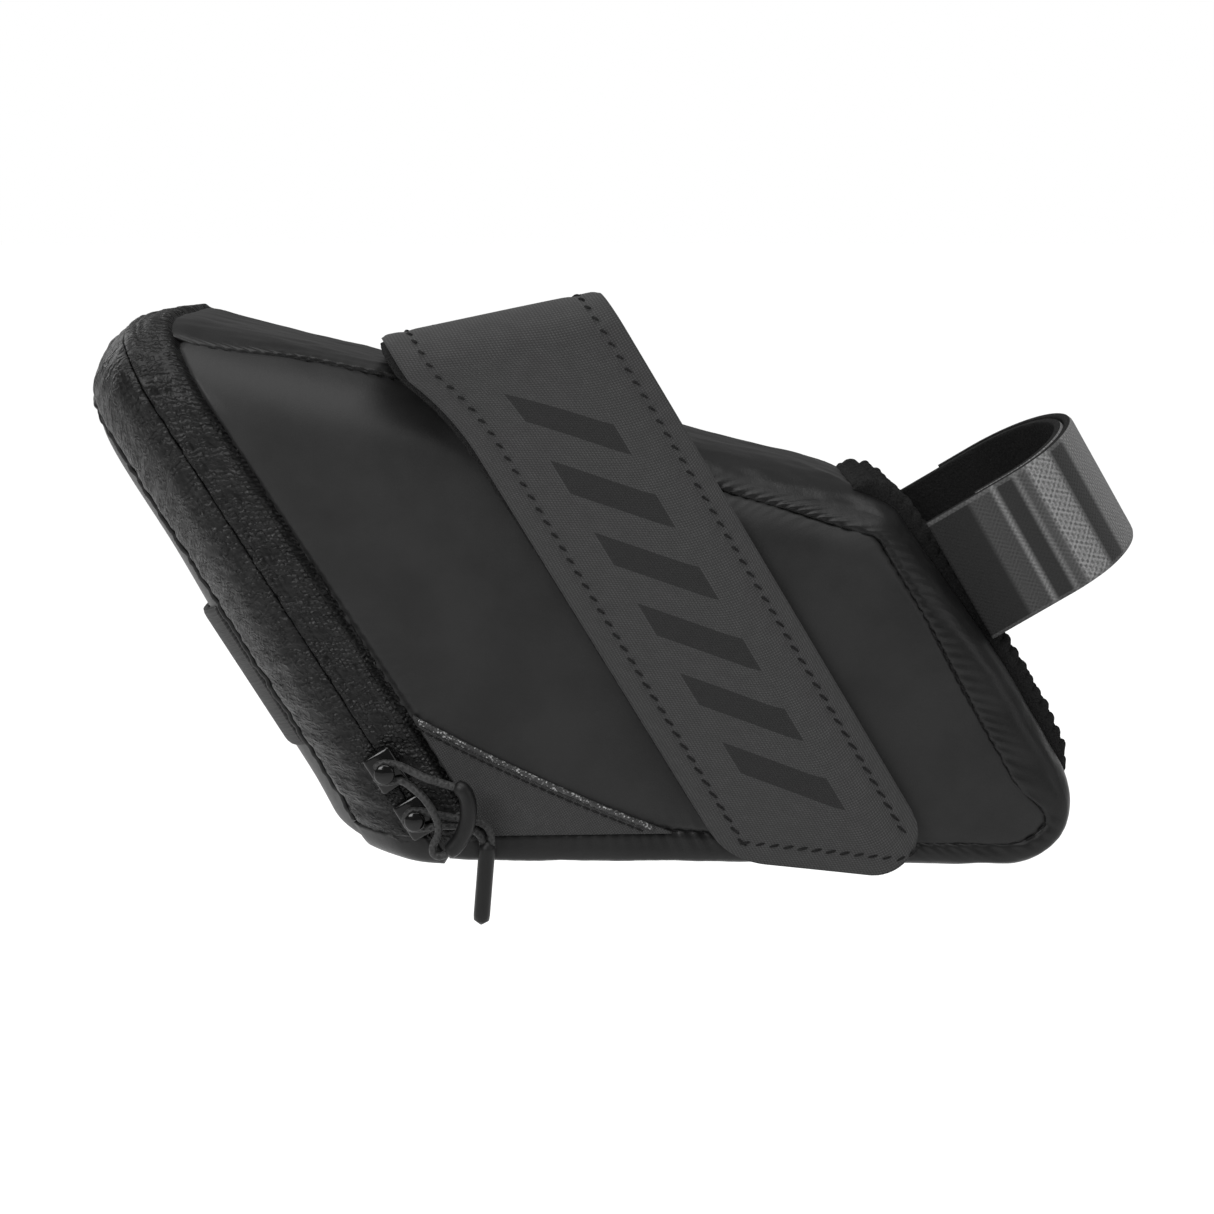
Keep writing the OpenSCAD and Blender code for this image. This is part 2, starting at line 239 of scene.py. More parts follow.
def ripples(u, v, seed, size):
    """Gentle seeded unevenness, about -1 to 1, of that wavelength in millimetres."""
    chance = np.random.default_rng(seed)
    waves, total = 7, 0
    for _ in range(waves):
        turn, phase, scale = chance.uniform(0, math.pi), chance.uniform(0, 6.28), chance.uniform(0.7, 1.5)
        along = u * math.cos(turn) + v * math.sin(turn)
        total = total + np.sin(WAVE / (size * scale) * along + phase)
    return total / math.sqrt(waves) / 1.4

# ---- shader maths ---------------------------------------------------------------------


def sum_of(operation, turned=False):
    """A method that adds one Math node; turned swaps its two values."""

    def method(self, other=0.0):
        first, second = (other, self) if turned else (self, other)
        return self.paint.node("ShaderNodeMath", {"operation": operation}, {0: first, 1: second})

    return method


class Value:
    """A socket that takes part in sums."""

    def __init__(self, paint, socket):
        self.paint, self.socket = paint, socket

    __add__, __radd__ = sum_of("ADD"), sum_of("ADD", True)
    __sub__, __rsub__ = sum_of("SUBTRACT"), sum_of("SUBTRACT", True)
    __mul__, __rmul__ = sum_of("MULTIPLY"), sum_of("MULTIPLY", True)
    __truediv__, __gt__, __lt__ = sum_of("DIVIDE"), sum_of("GREATER_THAN"), sum_of("LESS_THAN")
    fraction, floor, sine, size = sum_of("FRACT"), sum_of("FLOOR"), sum_of("SINE"), sum_of("ABSOLUTE")
    high = sum_of("MAXIMUM")

    def ease(self, start, end):
        """0 below start and 1 above end, smoothly."""
        return self.paint.node("ShaderNodeMapRange", {"interpolation_type": "SMOOTHSTEP"},
                               {"Value": self, "From Min": start, "From Max": end})


class Paint:
    """One material, built up node by node."""

    def __init__(self, name, **fixed):
        self.material = bpy.data.materials.new(name)
        self.material.use_nodes = True
        self.tree = self.material.node_tree
        self.shader = self.tree.nodes["Principled BSDF"]
        for socket, value in fixed.items():
            self.shader.inputs[socket.replace("_", " ")].default_value = value

    def node(self, kind, settings=None, inputs=None, out=0):
        made = self.tree.nodes.new(kind)
        for key, value in (settings or {}).items():
            if key == "stops":
                for k, (at, colour) in enumerate(value):
                    stop = made.color_ramp.elements[k] if k < 2 else made.color_ramp.elements.new(at)
                    stop.position, stop.color = at, colour
            else:
                setattr(made, key, value)
        for key, value in (inputs or {}).items():
            self.put(made.inputs[key], value)
        return Value(self, made.outputs[out])

    def put(self, socket, value):
        if isinstance(value, Value):
            self.tree.links.new(value.socket, socket)
        elif value is not None:
            socket.default_value = value

    def place(self, cloth=False):
        """Coordinates in millimetres: along the cloth, or in the row frame."""
        where = self.node("ShaderNodeTexCoord", out="UV" if cloth else "Object")
        return self.node("ShaderNodeVectorMath", {"operation": "SCALE"}, {0: where, "Scale": 1000.0})

    def parts(self, vector):
        split = self.node("ShaderNodeSeparateXYZ", None, {0: vector}).socket.node
        return [Value(self, split.outputs[k]) for k in range(3)]

    def noise(self, vector, scale, detail=3.0, rough=0.55):
        return self.node("ShaderNodeTexNoise", None,
                         {"Vector": vector, "Scale": scale, "Detail": detail, "Roughness": rough})

    def cells(self, vector, scale, out="Distance"):
        return self.node("ShaderNodeTexVoronoi", None, {"Vector": vector, "Scale": scale}, out)

    def stretch(self, vector, factors):
        return self.node("ShaderNodeVectorMath", {"operation": "MULTIPLY"}, {0: vector, 1: factors})

    def mix(self, factor, a, b):
        """Between two colours; either may be a link."""
        made = self.tree.nodes.new("ShaderNodeMix")
        made.data_type = "RGBA"
        for socket, value in ((made.inputs[0], factor), (made.inputs[6], a), (made.inputs[7], b)):
            self.put(socket, value)
        return Value(self, made.outputs[2])

    def finish(self, colour=None, rough=None, bump=None, lift=0.1):
        """lift is the bump's height in millimetres."""
        self.put(self.shader.inputs["Base Color"], colour)
        self.put(self.shader.inputs["Roughness"], rough)
        if bump is not None:
            settings = {"Height": bump, "Strength": 1.0, "Distance": lift * MM}
            self.put(self.shader.inputs["Normal"], self.node("ShaderNodeBump", None, settings))
        return self.material


def grey(level):
    """A plain colour of that screen level, 0 to 255."""
    v = (level / 255.0 / 12.92) if level < 10.3 else ((level / 255.0 + 0.055) / 1.055) ** 2.4
    return (v, v, v, 1.0)


def weave(paint, u, v, pitch):
    """Height of a plain weave: over and under by turns."""
    a, b = (u * (math.pi / pitch)).sine(), (v * (math.pi / pitch)).sine()
    return (a * b) * 0.5 + (a.size() + b.size()) * 0.25 + 0.25


def laminate(name, level, wrinkle=0.35, rough=0.5):
    """Smooth coated fabric on foam: satin, faintly mottled, with a fine grain."""
    p = Paint(name, Specular_IOR_Level=0.2)
    at = p.place()
    mottle, grain = p.noise(at, 0.06, 3.0), p.noise(at, 3.2, 2.0)
    crease = p.noise(p.stretch(at, (1.0, 0.6, 0.5)), 0.22, 4.0, 0.6)
    specks = p.cells(at, 1.5) < 0.1
    colour = p.mix(mottle.ease(0.3, 0.7), grey(level - 3), grey(level + 3))
    colour = p.mix(specks * 0.2, colour, grey(level + 22))
    return p.finish(colour, rough + (mottle - 0.5) * 0.16 + (grain - 0.5) * 0.10,
                    crease * wrinkle + grain * 0.18, 0.22)


def coated(name, level, gathers=0.9):
    """The zip's coated band: crackled and crossed by short creases, painted darker in the crease troughs,
    with painted shade along the slit.
    """
    p = Paint(name, Specular_IOR_Level=0.18)
    at = p.place()
    wander = p.noise(at, 0.35, 3.0)
    cut = p.place(cloth=True)
    u, v, _ = p.parts(cut)
    patchy, fine = p.noise(cut, 0.28, 2.0), p.noise(cut, 2.2, 2.0)
    crease = (v * (2 * math.pi / 1.25) + p.noise(cut, 0.45, 2.0) * 16.0).sine() * 0.5 + 0.5
    crease = crease * patchy.ease(0.3, 0.6)
    gather = ((v * (2 * math.pi / 1.15) + wander * 5.0).sine() * 0.5 + 0.5) * u.ease(1.6, 3.6)
    # painted shade: the band is painted darker along the slit between its two halves
    painted_slit_shade = (u + 4.55).size().ease(0.0, 0.28)
    cloudy = p.mix(wander.ease(0.3, 0.7), grey(level), grey(level + 9))
    # painted shade: the troughs of the creases are painted darker
    colour = p.mix(crease.ease(0.0, 0.5), grey(level - 4), cloudy)
    colour = p.mix(painted_slit_shade, grey(level - 6), colour)
    return p.finish(colour, 0.38 + (fine - 0.5) * 0.3, crease * 0.7 + fine * 0.25 + gather * gathers, 0.30)


def woven(name, level, pitch=0.45, speckle=18, rough=0.75, motif=False, lift=0.08):
    """Flat woven fabric that follows its own cut."""
    p = Paint(name, Specular_IOR_Level=0.2, Sheen_Weight=0.04, Sheen_Roughness=0.5)
    at = p.place(cloth=True)
    u, v, _ = p.parts(at)
    cloth, cloud = weave(p, u + v, u - v, pitch), p.noise(at, 0.35, 3.0)
    dust = p.cells(at, 1.7) < 0.10
    colour = p.mix(cloth.ease(0.2, 0.9), grey(level - 13), grey(level + 8))
    colour = p.mix(cloud.ease(0.25, 0.75) * 0.35, colour, grey(level - 10))
    colour = p.mix(dust * 0.35, colour, grey(level + speckle + 15))
    if motif:                                    # plain slanted bars, printed down the strap
        lean = v + u * 0.55
        bar = ((lean - MOTIF_START) / MOTIF_PITCH).fraction()
        inside = (bar < 0.46) * (u.size() < MOTIF_HALF) * (lean > MOTIF_START) * (lean < MOTIF_END)
        colour = p.mix(inside * 0.93, colour, p.mix(cloth, grey(20), grey(31)))
    return p.finish(colour, rough + (cloud - 0.5) * 0.14, cloth, lift)


def fuzzy(name, level):
    """Brushed loop pile."""
    p = Paint(name, Specular_IOR_Level=0.1, Sheen_Weight=0.02, Sheen_Roughness=0.6, Roughness=0.95)
    at = p.place()
    tuft, hair = p.cells(at, 1.7), p.noise(at, 3.4, 5.0, 0.75)
    colour = p.mix(hair.ease(0.3, 0.72), grey(level - 7), grey(level + 20))
    return p.finish(colour, None, (1 - tuft) * 0.7 + hair, 0.55)


MOTIF_PITCH, MOTIF_HALF, MOTIF_START, MOTIF_END = 17.0, 7.2, 20.0, 112.0


def striped_webbing(name):
    """Seat-post webbing: bands run across it, with a ribbed light end."""
    p = Paint(name, Specular_IOR_Level=0.2, Sheen_Weight=0.05, Sheen_Roughness=0.5)
    at = p.place(cloth=True)
    u, v, _ = p.parts(at)
    along = v / POST_LEG
    bands = p.node("ShaderNodeValToRGB", {"stops": [(at_, grey(g)) for at_, g in POST_BANDS]}, {"Fac": along})
    rib = (v * (2 * math.pi / 0.7)).sine() * 0.5 + 0.5
    tip = along.ease(0.84, 0.88)
    dash = ((u / 1.6 + (v / 0.8).floor() * 0.5).fraction() < 0.45) * ((v / 0.8).fraction() < 0.6)
    light = (along > 0.55) * (along < 0.72)
    cloth = weave(p, u, v, 0.5)
    colour = p.mix(dash * light * 0.55, bands, grey(42))
    colour = p.mix(tip * (1 - rib) * 0.55, colour, grey(48))
    colour = p.mix((u.size() > 13.5) * 0.4, colour, grey(90))
    colour = p.mix((((v * 4.4).sine() * (u * 5.5).sine()) > 0.1) * 0.28, colour, grey(24))
    colour = p.mix(cloth.ease(0.1, 0.9) * 0.25, colour, grey(30))
    return p.finish(colour, 0.72 + (cloth - 0.5) * 0.15, cloth * 0.6 + tip * rib, 0.18)


POST_LEG = 36.0
# colour stops along the outer leg, as shares of its length, and the grey at each
POST_BANDS = [(0.0, 16), (0.17, 20), (0.20, 58), (0.32, 55), (0.345, 112), (0.375, 34), (0.46, 32),
              (0.485, 98), (0.51, 64), (0.545, 70), (0.57, 126), (0.70, 120), (0.74, 38), (0.83, 42),
              (0.87, 118), (1.0, 126)]


def plaited(name, level):
    """Braided cord: strands crossing round it."""
    p = Paint(name, Specular_IOR_Level=0.4, Sheen_Weight=0.04, Roughness=0.62)
    at = p.place()
    u, v, w = p.parts(at)
    a, b = ((u + w) * 4.4).sine(), ((u - w) * 4.4 + v).sine()
    strand = a.high(b) * 0.5 + 0.5
    return p.finish(p.mix(strand, grey(level - 8), grey(level + 14)), None, strand, 0.12)


def rubber(name, level):
    p = Paint(name, Specular_IOR_Level=0.2)
    at = p.place()
    dull, pore = p.noise(at, 0.4, 3.0), p.noise(at, 5.0, 2.0)
    return p.finish(p.mix(dull, grey(level - 3), grey(level + 6)), 0.40 + (dull - 0.5) * 0.2, pore, 0.03)


def enamel(name, level):
    p = Paint(name, Specular_IOR_Level=0.15, Coat_Weight=0.22, Coat_Roughness=0.05)
    at = p.place()
    scuff, peel = p.noise(at, 1.4, 5.0, 0.7), p.noise(at, 2.4, 2.0)
    return p.finish(p.mix(scuff.ease(0.62, 0.76), grey(level), grey(level + 12)),
                    0.14 + scuff.ease(0.55, 0.8) * 0.25, peel, 0.02)


def painted_glints(name, level):
    """Reflective edging: glass beads, each painted with a glint of its own brightness."""
    p = Paint(name, Specular_IOR_Level=0.4)
    at = p.place()
    bead = p.cells(at, 3.4, out="Color")
    shine, _, _ = p.parts(bead)
    # painted glints: the brightest beads are painted near white
    return p.finish(p.mix(shine.ease(0.80, 0.99), grey(level - 12), grey(level + 95)), 0.35 + shine * 0.3,
                    p.cells(at, 3.4), 0.10)


def board(name, level):
    """Stiffener under a thin lining cloth."""
    p = Paint(name, Specular_IOR_Level=0.25, Roughness=0.85)
    at = p.place()
    x, y, z = p.parts(at)
    cloth, cloud = weave(p, x + z, y + z, 0.7), p.noise(at, 0.15, 3.0)
    return p.finish(p.mix(cloth * 0.6 + cloud * 0.4, grey(level - 10), grey(level + 14)), None, cloth, 0.10)


def hooked(name, level):
    """Moulded hooks in close rows."""
    p = Paint(name, Specular_IOR_Level=0.4, Roughness=0.6)
    at = p.place()
    hook = 1 - p.cells(at, 1.25).ease(0.12, 0.5)
    return p.finish(p.mix(hook, grey(level - 8), grey(level + 24)), None, hook, 0.5)

# ---- meshes ---------------------------------------------------------------------------


def mesh_piece(name, points, faces, paints, uv=None, index=None):
    """An object at the origin whose place is in its mesh. points are in millimetres."""
    mesh = bpy.data.meshes.new(name)
    mesh.from_pydata((np.asarray(points, float) * MM).tolist(), [], [tuple(map(int, f)) for f in faces])
    for paint in paints:
        mesh.materials.append(paint)
    if uv is not None:
        layer = mesh.uv_layers.new(name="cut")
        loops = np.zeros(len(mesh.loops), np.int32)
        mesh.loops.foreach_get("vertex_index", loops)
        layer.data.foreach_set("uv", (np.asarray(uv, float)[loops] * MM).astype(np.float32).ravel())
    if index is not None:
        mesh.polygons.foreach_set("material_index", np.asarray(index, np.int32))
    mesh.polygons.foreach_set("use_smooth", np.full(len(mesh.polygons), True))
    mesh.update()
    piece = bpy.data.objects.new(name, mesh)
    bpy.context.scene.collection.objects.link(piece)
    return piece


def grid_faces(n, m, wrap=False):
    """Quads of an n by m grid of points; wrap joins the last row to the first."""
    i, j = np.meshgrid(np.arange(n if wrap else n - 1), np.arange(m - 1), indexing="ij")
    a, k = i * m + j, (i + 1) % n
    return np.stack([a, k * m + j, k * m + j + 1, a + 1], -1).reshape(-1, 4)


def cloth(name, outer, inner, uv, paints, wrap=False):
    """A closed sheet between two grids of points.

    The second paint, if any, is for the underside and the cut edge.
    """
    n, m = outer.shape[:2]
    top = grid_faces(n, m, wrap)
    under = top[:, ::-1] + n * m
    edge = [(k, (k + 1) % n) for k in range(n if wrap else n - 1)]
    rim = []
    for a, b in edge:
        rim += [(b * m, a * m, a * m + n * m, b * m + n * m),
                (a * m + m - 1, b * m + m - 1, b * m + m - 1 + n * m, a * m + m - 1 + n * m)]
    if not wrap:
        for j in range(m - 1):
            a, b = j, (n - 1) * m + j
            rim += [(a, a + 1, a + 1 + n * m, a + n * m), (b + 1, b, b + n * m, b + 1 + n * m)]
    points = np.concatenate([outer.reshape(-1, 3), inner.reshape(-1, 3)])
    faces = np.concatenate([top, under, np.array(rim)])
    corner = points[top]
    normal = np.cross(corner[:, 2] - corner[:, 0], corner[:, 3] - corner[:, 1])
    lift = (outer.reshape(-1, 3) - inner.reshape(-1, 3))[top].mean(1)
    if (normal * lift).sum() < 0:
        faces = faces[:, ::-1]
    flat_uv = np.asarray(uv, float).reshape(-1, 2)
    index = np.r_[np.zeros(len(top), int), np.full(len(under) + len(rim), len(paints) - 1)]
    return mesh_piece(name, points, faces, paints, np.concatenate([flat_uv, flat_uv]), index)


def shell(name, start, thick, paints, level=0.0, wrap=False):
    """A soft panel that follows the bag's form. start is a rough grid; level may vary over it."""
    outer = settle(start)
    side = outward(outer)
    outer = outer + side * np.broadcast_to(level, outer.shape[:2])[..., None]
    u = np.r_[0, np.cumsum(np.linalg.norm(np.diff(outer, axis=0), axis=2).mean(1))]
    v = np.r_[0, np.cumsum(np.linalg.norm(np.diff(outer, axis=1), axis=2).mean(0))]
    uv = np.stack(np.meshgrid(u, v - v.mean(), indexing="ij"), -1)[..., ::-1]
    return cloth(name, outer, outer - side * thick, uv, paints, wrap), outer, side


def bar_faces(rings, sides):
    """Faces of a round bar made of rings, both its ends closed."""
    faces = []
    for k in range(rings - 1):
        for j in range(sides):
            a, b = k * sides + j, k * sides + (j + 1) % sides
            faces.append((a, b, b + sides, a + sides))
    return faces + [tuple(range(sides))[::-1], tuple((rings - 1) * sides + j for j in range(sides))]


def tube(name, route, diameter, paint, sides):
    """A round bar along a route, with rounded ends."""
    route = resample(route, diameter * 0.3)
    heading = np.gradient(route, axis=0)
    heading /= np.linalg.norm(heading, axis=1, keepdims=True)
    a = np.cross(heading, [0.0, 1.0, 0.0]) + 1e-9
    a /= np.linalg.norm(a, axis=1, keepdims=True)
    b = np.cross(heading, a)
    width = np.full(len(route), diameter / 2)
    run = np.arange(len(route)) * diameter * 0.3
    for reach in (run, run[::-1]):
        inward = np.clip(reach / (diameter * 0.45), 0, 1)
        width = width * np.sqrt(np.clip(1 - (1 - inward) ** 2, 0.03, 1))
    turn = np.linspace(0, 2 * math.pi, sides, endpoint=False)
    ring = (route[:, None] + width[:, None, None]
            * (a[:, None] * np.cos(turn)[None, :, None] + b[:, None] * np.sin(turn)[None, :, None]))
    piece = mesh_piece(name, ring.reshape(-1, 3), bar_faces(len(route), sides), [paint])
    outward_faces(piece)
    return piece


def outward_faces(piece):
    """Merges doubles and points the faces of a closed mesh outwards."""
    shape = bmesh.new()
    shape.from_mesh(piece.data)
    bmesh.ops.remove_doubles(shape, verts=shape.verts, dist=1e-7)
    bmesh.ops.recalc_face_normals(shape, faces=shape.faces)
    shape.to_mesh(piece.data)
    shape.free()


def stitches(name, at, along, lift, paint, length=2.4, width=0.62, slant=0.16):
    """A row of thread stitches, copied from one small bent bar."""
    rings, sides = 5, 6
    t = np.linspace(-1, 1, rings)
    turn = np.linspace(0, 2 * math.pi, sides, endpoint=False)
    thin = np.sqrt(np.clip(1 - (np.abs(t) * 0.93) ** 4, 0.05, 1))
    bar = np.stack(np.broadcast_arrays(t[:, None] * length / 2, np.cos(turn) * thin[:, None] * width / 2,
                                       np.sin(turn) * thin[:, None] * width * 0.42
                                       - (t[:, None] ** 2) * width * 0.35), -1).reshape(-1, 3)
    one, points, faces = bar_faces(rings, sides), [], []
    for k, (p, a, n) in enumerate(zip(at, along, lift)):
        n = n / np.linalg.norm(n)
        a = a - n * (a @ n)
        a /= np.linalg.norm(a)
        across = np.cross(n, a)
        a = a * math.cos(slant) + across * math.sin(slant)
        across = np.cross(n, a)
        points.append(p + bar[:, :1] * a + bar[:, 1:2] * across + bar[:, 2:] * n)
        faces += [tuple(i + k * len(bar) for i in f) for f in one]
    piece = mesh_piece(name, np.concatenate(points), faces, [paint])
    outward_faces(piece)
    return piece


def select_none():
    bpy.ops.object.select_all(action="DESELECT")


def block(name, centre, size, turn, paint, bevel, dome):
    """A small moulded block in millimetres, its edges rounded and its outer face drawn up to a dome."""
    select_none()
    bpy.ops.mesh.primitive_cube_add(size=MM)
    piece = bpy.context.object
    piece.name = piece.data.name = name
    bpy.ops.object.mode_set(mode="EDIT")
    bpy.ops.mesh.select_all(action="SELECT")
    bpy.ops.transform.resize(value=size)
    bpy.ops.mesh.bevel(offset=bevel * MM, segments=3, affect="EDGES")
    bpy.ops.mesh.select_all(action="DESELECT")
    shape = bmesh.from_edit_mesh(piece.data)
    top = max(shape.faces, key=lambda f: -f.calc_center_median().y)
    top.select = True
    bmesh.update_edit_mesh(piece.data)
    for draw in (0.55, 0.30, 0.15):
        bpy.ops.mesh.inset(thickness=0.16 * min(size[0], size[2]) * MM)
        bpy.ops.transform.translate(value=(0, -dome * draw * MM, 0))
    bpy.ops.object.mode_set(mode="OBJECT")
    piece.data.transform(Matrix.Translation(Vector(centre) * MM) @ Matrix.Rotation(turn, 4, "Y"))
    piece.data.materials.append(paint)
    piece.data.shade_smooth()
    outward_faces(piece)
    return piece

# ---- finishes -------------------------------------------------------------------------

SIDE_LAMINATE = laminate("side_laminate", 28, 0.30, 0.50)
GUSSET_LAMINATE = laminate("gusset_laminate", 19, 0.75, 0.40)
REAR_LAMINATE = laminate("rear_laminate", 24, 0.6, 0.48)
COATED_BAND = coated("coated_band", 11)
LID_BAND = coated("lid_band", 11, 0.1)
STRAP_FACE = woven("strap_face", 50, 0.55, 26, 0.78, motif=True)
PATCH_FABRIC = woven("patch_fabric", 45, 0.45, 12, 0.7)
LOOP_WEBBING = woven("loop_webbing", 36, 0.9, 6, 0.8, lift=0.2)
TAPE_WEAVE = woven("tape_weave", 30, 0.6, 5, 0.8)
PILE = fuzzy("brushed_pile", 14)
POST_WEBBING = striped_webbing("post_webbing")
KNIT = fuzzy("grip_knit", 11)
THREAD = fuzzy("thread", 16)
CORD_BRAID = plaited("braided_cord", 15)
PULL_RUBBER = rubber("pull_rubber", 14)
SLIDER_ENAMEL = enamel("slider_enamel", 7)
EDGING = painted_glints("reflective_edging", 42)
BOARD = board("lined_board", 58)
HOOKS = hooked("hook_fabric", 26)
COIL = rubber("zip_coil", 28)

# ---- pull cords and tubes ---------------------------------------------------------------

LOWER_POST, UPPER_POST = np.array([-128.761, -42.0, -54.618]), np.array([-134.684, -42.0, -44.761])
CORD_D, TUBE_D = 1.6, 3.4
LOWER_ROUTE = [(14.85, -11, .2), (15.35, -5, .2), (14.6, -1.6, .2), (12, -.2, .2), (7, .6, .1),
               (2.5, 1.5, 0), (.7, 1.85, 0), (-.9, 1.75, 0), (-1.9, .6, 0), (-1.9, -.6, 0),
               (-.9, -1.75, 0), (.7, -1.85, 0), (2.5, -1.6, 0), (7, -1.2, .1), (11, -1.8, .2),
               (13.2, -3.4, .2), (13.6, -6, .2), (13.15, -11, .2)]
UPPER_TUBE = [(13.9, -1.7, 3.9), (15.6, -2.2, 3.9), (16.7, -4, 3.9), (17, -6.8, 3.9),
              (16.6, -9.6, 3.9), (15.5, -12.3, 3.9), (13.8, -14.6, 3.9), (12.2, -15.8, 3.9)]
UPPER_OUT = [(-1.95, .87, 0), (-.9, 1.8, 0), (.7, 1.95, 0), (3.2, 1.4, 0), (8.2, .2, 3.9), (11, -.8, 3.9)]
UPPER_BACK = [(11, -16.3, 3.9), (9.8, -15.6, 3.9), (9.8, -14, 3.9), (10.9, -11.4, 3.9), (10.6, -8.6, 3.9),
              (8.6, -4.8, 3.9), (6, -2.6, 2.6), (3.2, -1.7, 0), (.7, -1.95, 0), (-.9, -1.8, 0),
              (-1.95, -.87, 0)]
LOWER_TUBE_TOP, LOWER_TUBE_TURN, LOWER_TUBE_L = (14.6, -4.2), math.radians(-95), 18.0


def at_pull(post, route):
    """A pull's own frame, x forward, y up, z outwards, to the row frame."""
    r = np.asarray(route, float)
    return post + np.stack([r[:, 0], -r[:, 2], r[:, 1]], -1)


def flowing(points, each=5):
    """A smooth line through points."""
    p = np.vstack([points[:1], points, points[-1:]])
    t = np.linspace(0, 1, each, endpoint=False)[:, None]
    runs = []
    for a, b, c, d in zip(p, p[1:], p[2:], p[3:]):
        bend, twist = 2 * a - 5 * b + 4 * c - d, 3 * b - a - 3 * c + d
        runs.append(0.5 * (2 * b + (c - a) * t + bend * t ** 2 + twist * t ** 3))
    return np.vstack(runs + [points[-1:]])


def cord_curve(name, line, diameter, paint):
    """A cord as a round curve along its line."""
    curve = bpy.data.curves.new(name, "CURVE")
    curve.dimensions, curve.bevel_depth, curve.bevel_resolution = "3D", diameter / 2 * MM, 3
    curve.use_fill_caps = True
    spline = curve.splines.new("POLY")
    spline.points.add(len(line) - 1)
    for point, place in zip(spline.points, line):
        point.co = (*(place * MM), 1)
    curve.materials.append(paint)
    piece = bpy.data.objects.new(name, curve)
    bpy.context.scene.collection.objects.link(piece)
    return piece


tube_way = np.array([math.cos(LOWER_TUBE_TURN), math.sin(LOWER_TUBE_TURN)])
tube_end = np.array(LOWER_TUBE_TOP) + LOWER_TUBE_L * tube_way
LOWER_TUBE = [(*LOWER_TUBE_TOP, 0.2), (*tube_end, 0.2)]
for which, post, route, sleeve in (("lower", LOWER_POST, LOWER_ROUTE, LOWER_TUBE),
                                   ("upper", UPPER_POST, UPPER_OUT + UPPER_TUBE + UPPER_BACK, UPPER_TUBE)):
    line = flowing(at_pull(post, route))
    pull = cord_curve(f"pull_cord_{which}_braid", line, CORD_D, CORD_BRAID)
    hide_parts(f"pull_cord_{which}")
    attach(pull, f"{which}_pull")
    grip = tube(f"pull_tube_{which}_rubber", flowing(at_pull(post, sleeve), 8), TUBE_D, PULL_RUBBER, 16)
    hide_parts(f"pull_tube_{which}")
    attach(grip, f"{which}_pull")


# ---- sewn panels ------------------------------------------------------------------------


def outline_from(test):
    """The run of the side view's line where test holds, with its outward normals."""
    line = outline_path()[:-1]
    s = COS * line[:, 0] + SIN * line[:, 1]
    held = test(s, line)
    first = int(np.flatnonzero(held & ~np.roll(held, 1))[0])
    order = (first + np.arange(int(held.sum()))) % len(line)
    around = np.roll(line, -1, 0) - np.roll(line, 1, 0)
    normal = np.stack([around[:, 1], -around[:, 0]], -1)
    normal /= np.linalg.norm(normal, axis=1, keepdims=True)
    return line[order], normal[order]


# for each column across the gusset: its share of the way from the bag's edge in to the seam, and its side
WRAP, ACROSS = 16, 60
wrap_in = np.linspace(1, 0, WRAP)
gusset_wrap = np.r_[wrap_in, np.zeros(ACROSS - 2), wrap_in[::-1]]
gusset_y = np.r_[-np.ones(WRAP), np.linspace(-1, 1, ACROSS)[1:-1], np.ones(WRAP)]
SIDE_CENTRE = (-96.0, -14.0)


def gusset_grid(test, width=1.0):
    """Starting points for the gusset, and how far each is from the seam."""
    line, _ = outline_from(test)
    # by the zip's foot the rows run up along the zip, elsewhere towards the side's middle
    by_zip = eased((-118.0 - line @ [COS, SIN]) / 20.0) * (line[:, 1] < -50.0)
    centre = np.array(SIDE_CENTRE)
    centre = centre + by_zip[:, None] * (line + 60 * np.array([-SIN, COS]) - centre)
    low, high = np.zeros(len(line)), np.ones(len(line))
    for _ in range(26):
        mid = (low + high) / 2
        x, z = (centre + (line - centre) * mid[:, None]).T
        within = beyond_seam(x, z) < 0
        low, high = np.where(within, mid, low), np.where(within, high, mid)
    seam_at = centre + (line - centre) * low[:, None]
    flat = line[:, None] + gusset_wrap[None, :, None] * (seam_at - line)[:, None]
    y = gusset_y[None] * wall_y(seam_at[:, 0], seam_at[:, 1])[:, None] * width
    grid = settle(np.stack([flat[..., 0], y, flat[..., 1]], -1))
    steps = np.linalg.norm(np.diff(grid, axis=1), axis=2)
    run = np.concatenate([np.zeros((len(grid), 1)), np.cumsum(steps, 1)], 1)
    return grid, np.minimum(run, run[:, -1:] - run)


def seam_relief(run, away, seed, dip=0.7, pucker=0.20, pitch=3.0):
    """The dip beside a seam, and the puckers that run out of it."""
    beat = np.sin(WAVE * run / pitch + 1.4 * ripples(run, run * 0, seed, 19))
    return -dip * np.exp(-(away / 0.8) ** 2) + pucker * beat * np.exp(-away / 2.6)


start, from_seam = gusset_grid(lambda s, p: (s > BAND_FRONT - 0.6) | ((s > ZIP_S + SLIT) & (p[:, 1] < -50.0)))
run = np.arange(len(start))[:, None] * STEP
level = (seam_relief(run, from_seam, 3, 0.55, 0.26)
         + 0.22 * ripples(run, gusset_y[None] * 38, 4, 34) + 0.10 * ripples(run, gusset_y[None] * 38, 5, 9))
gusset, gusset_at, gusset_out = shell("gusset", start, 1.2, [GUSSET_LAMINATE], level)
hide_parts("top_panel", "front_panel", "base_panel")
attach(gusset, "bag")

TUCK = 1.5                        # each side runs up to this far under the gusset


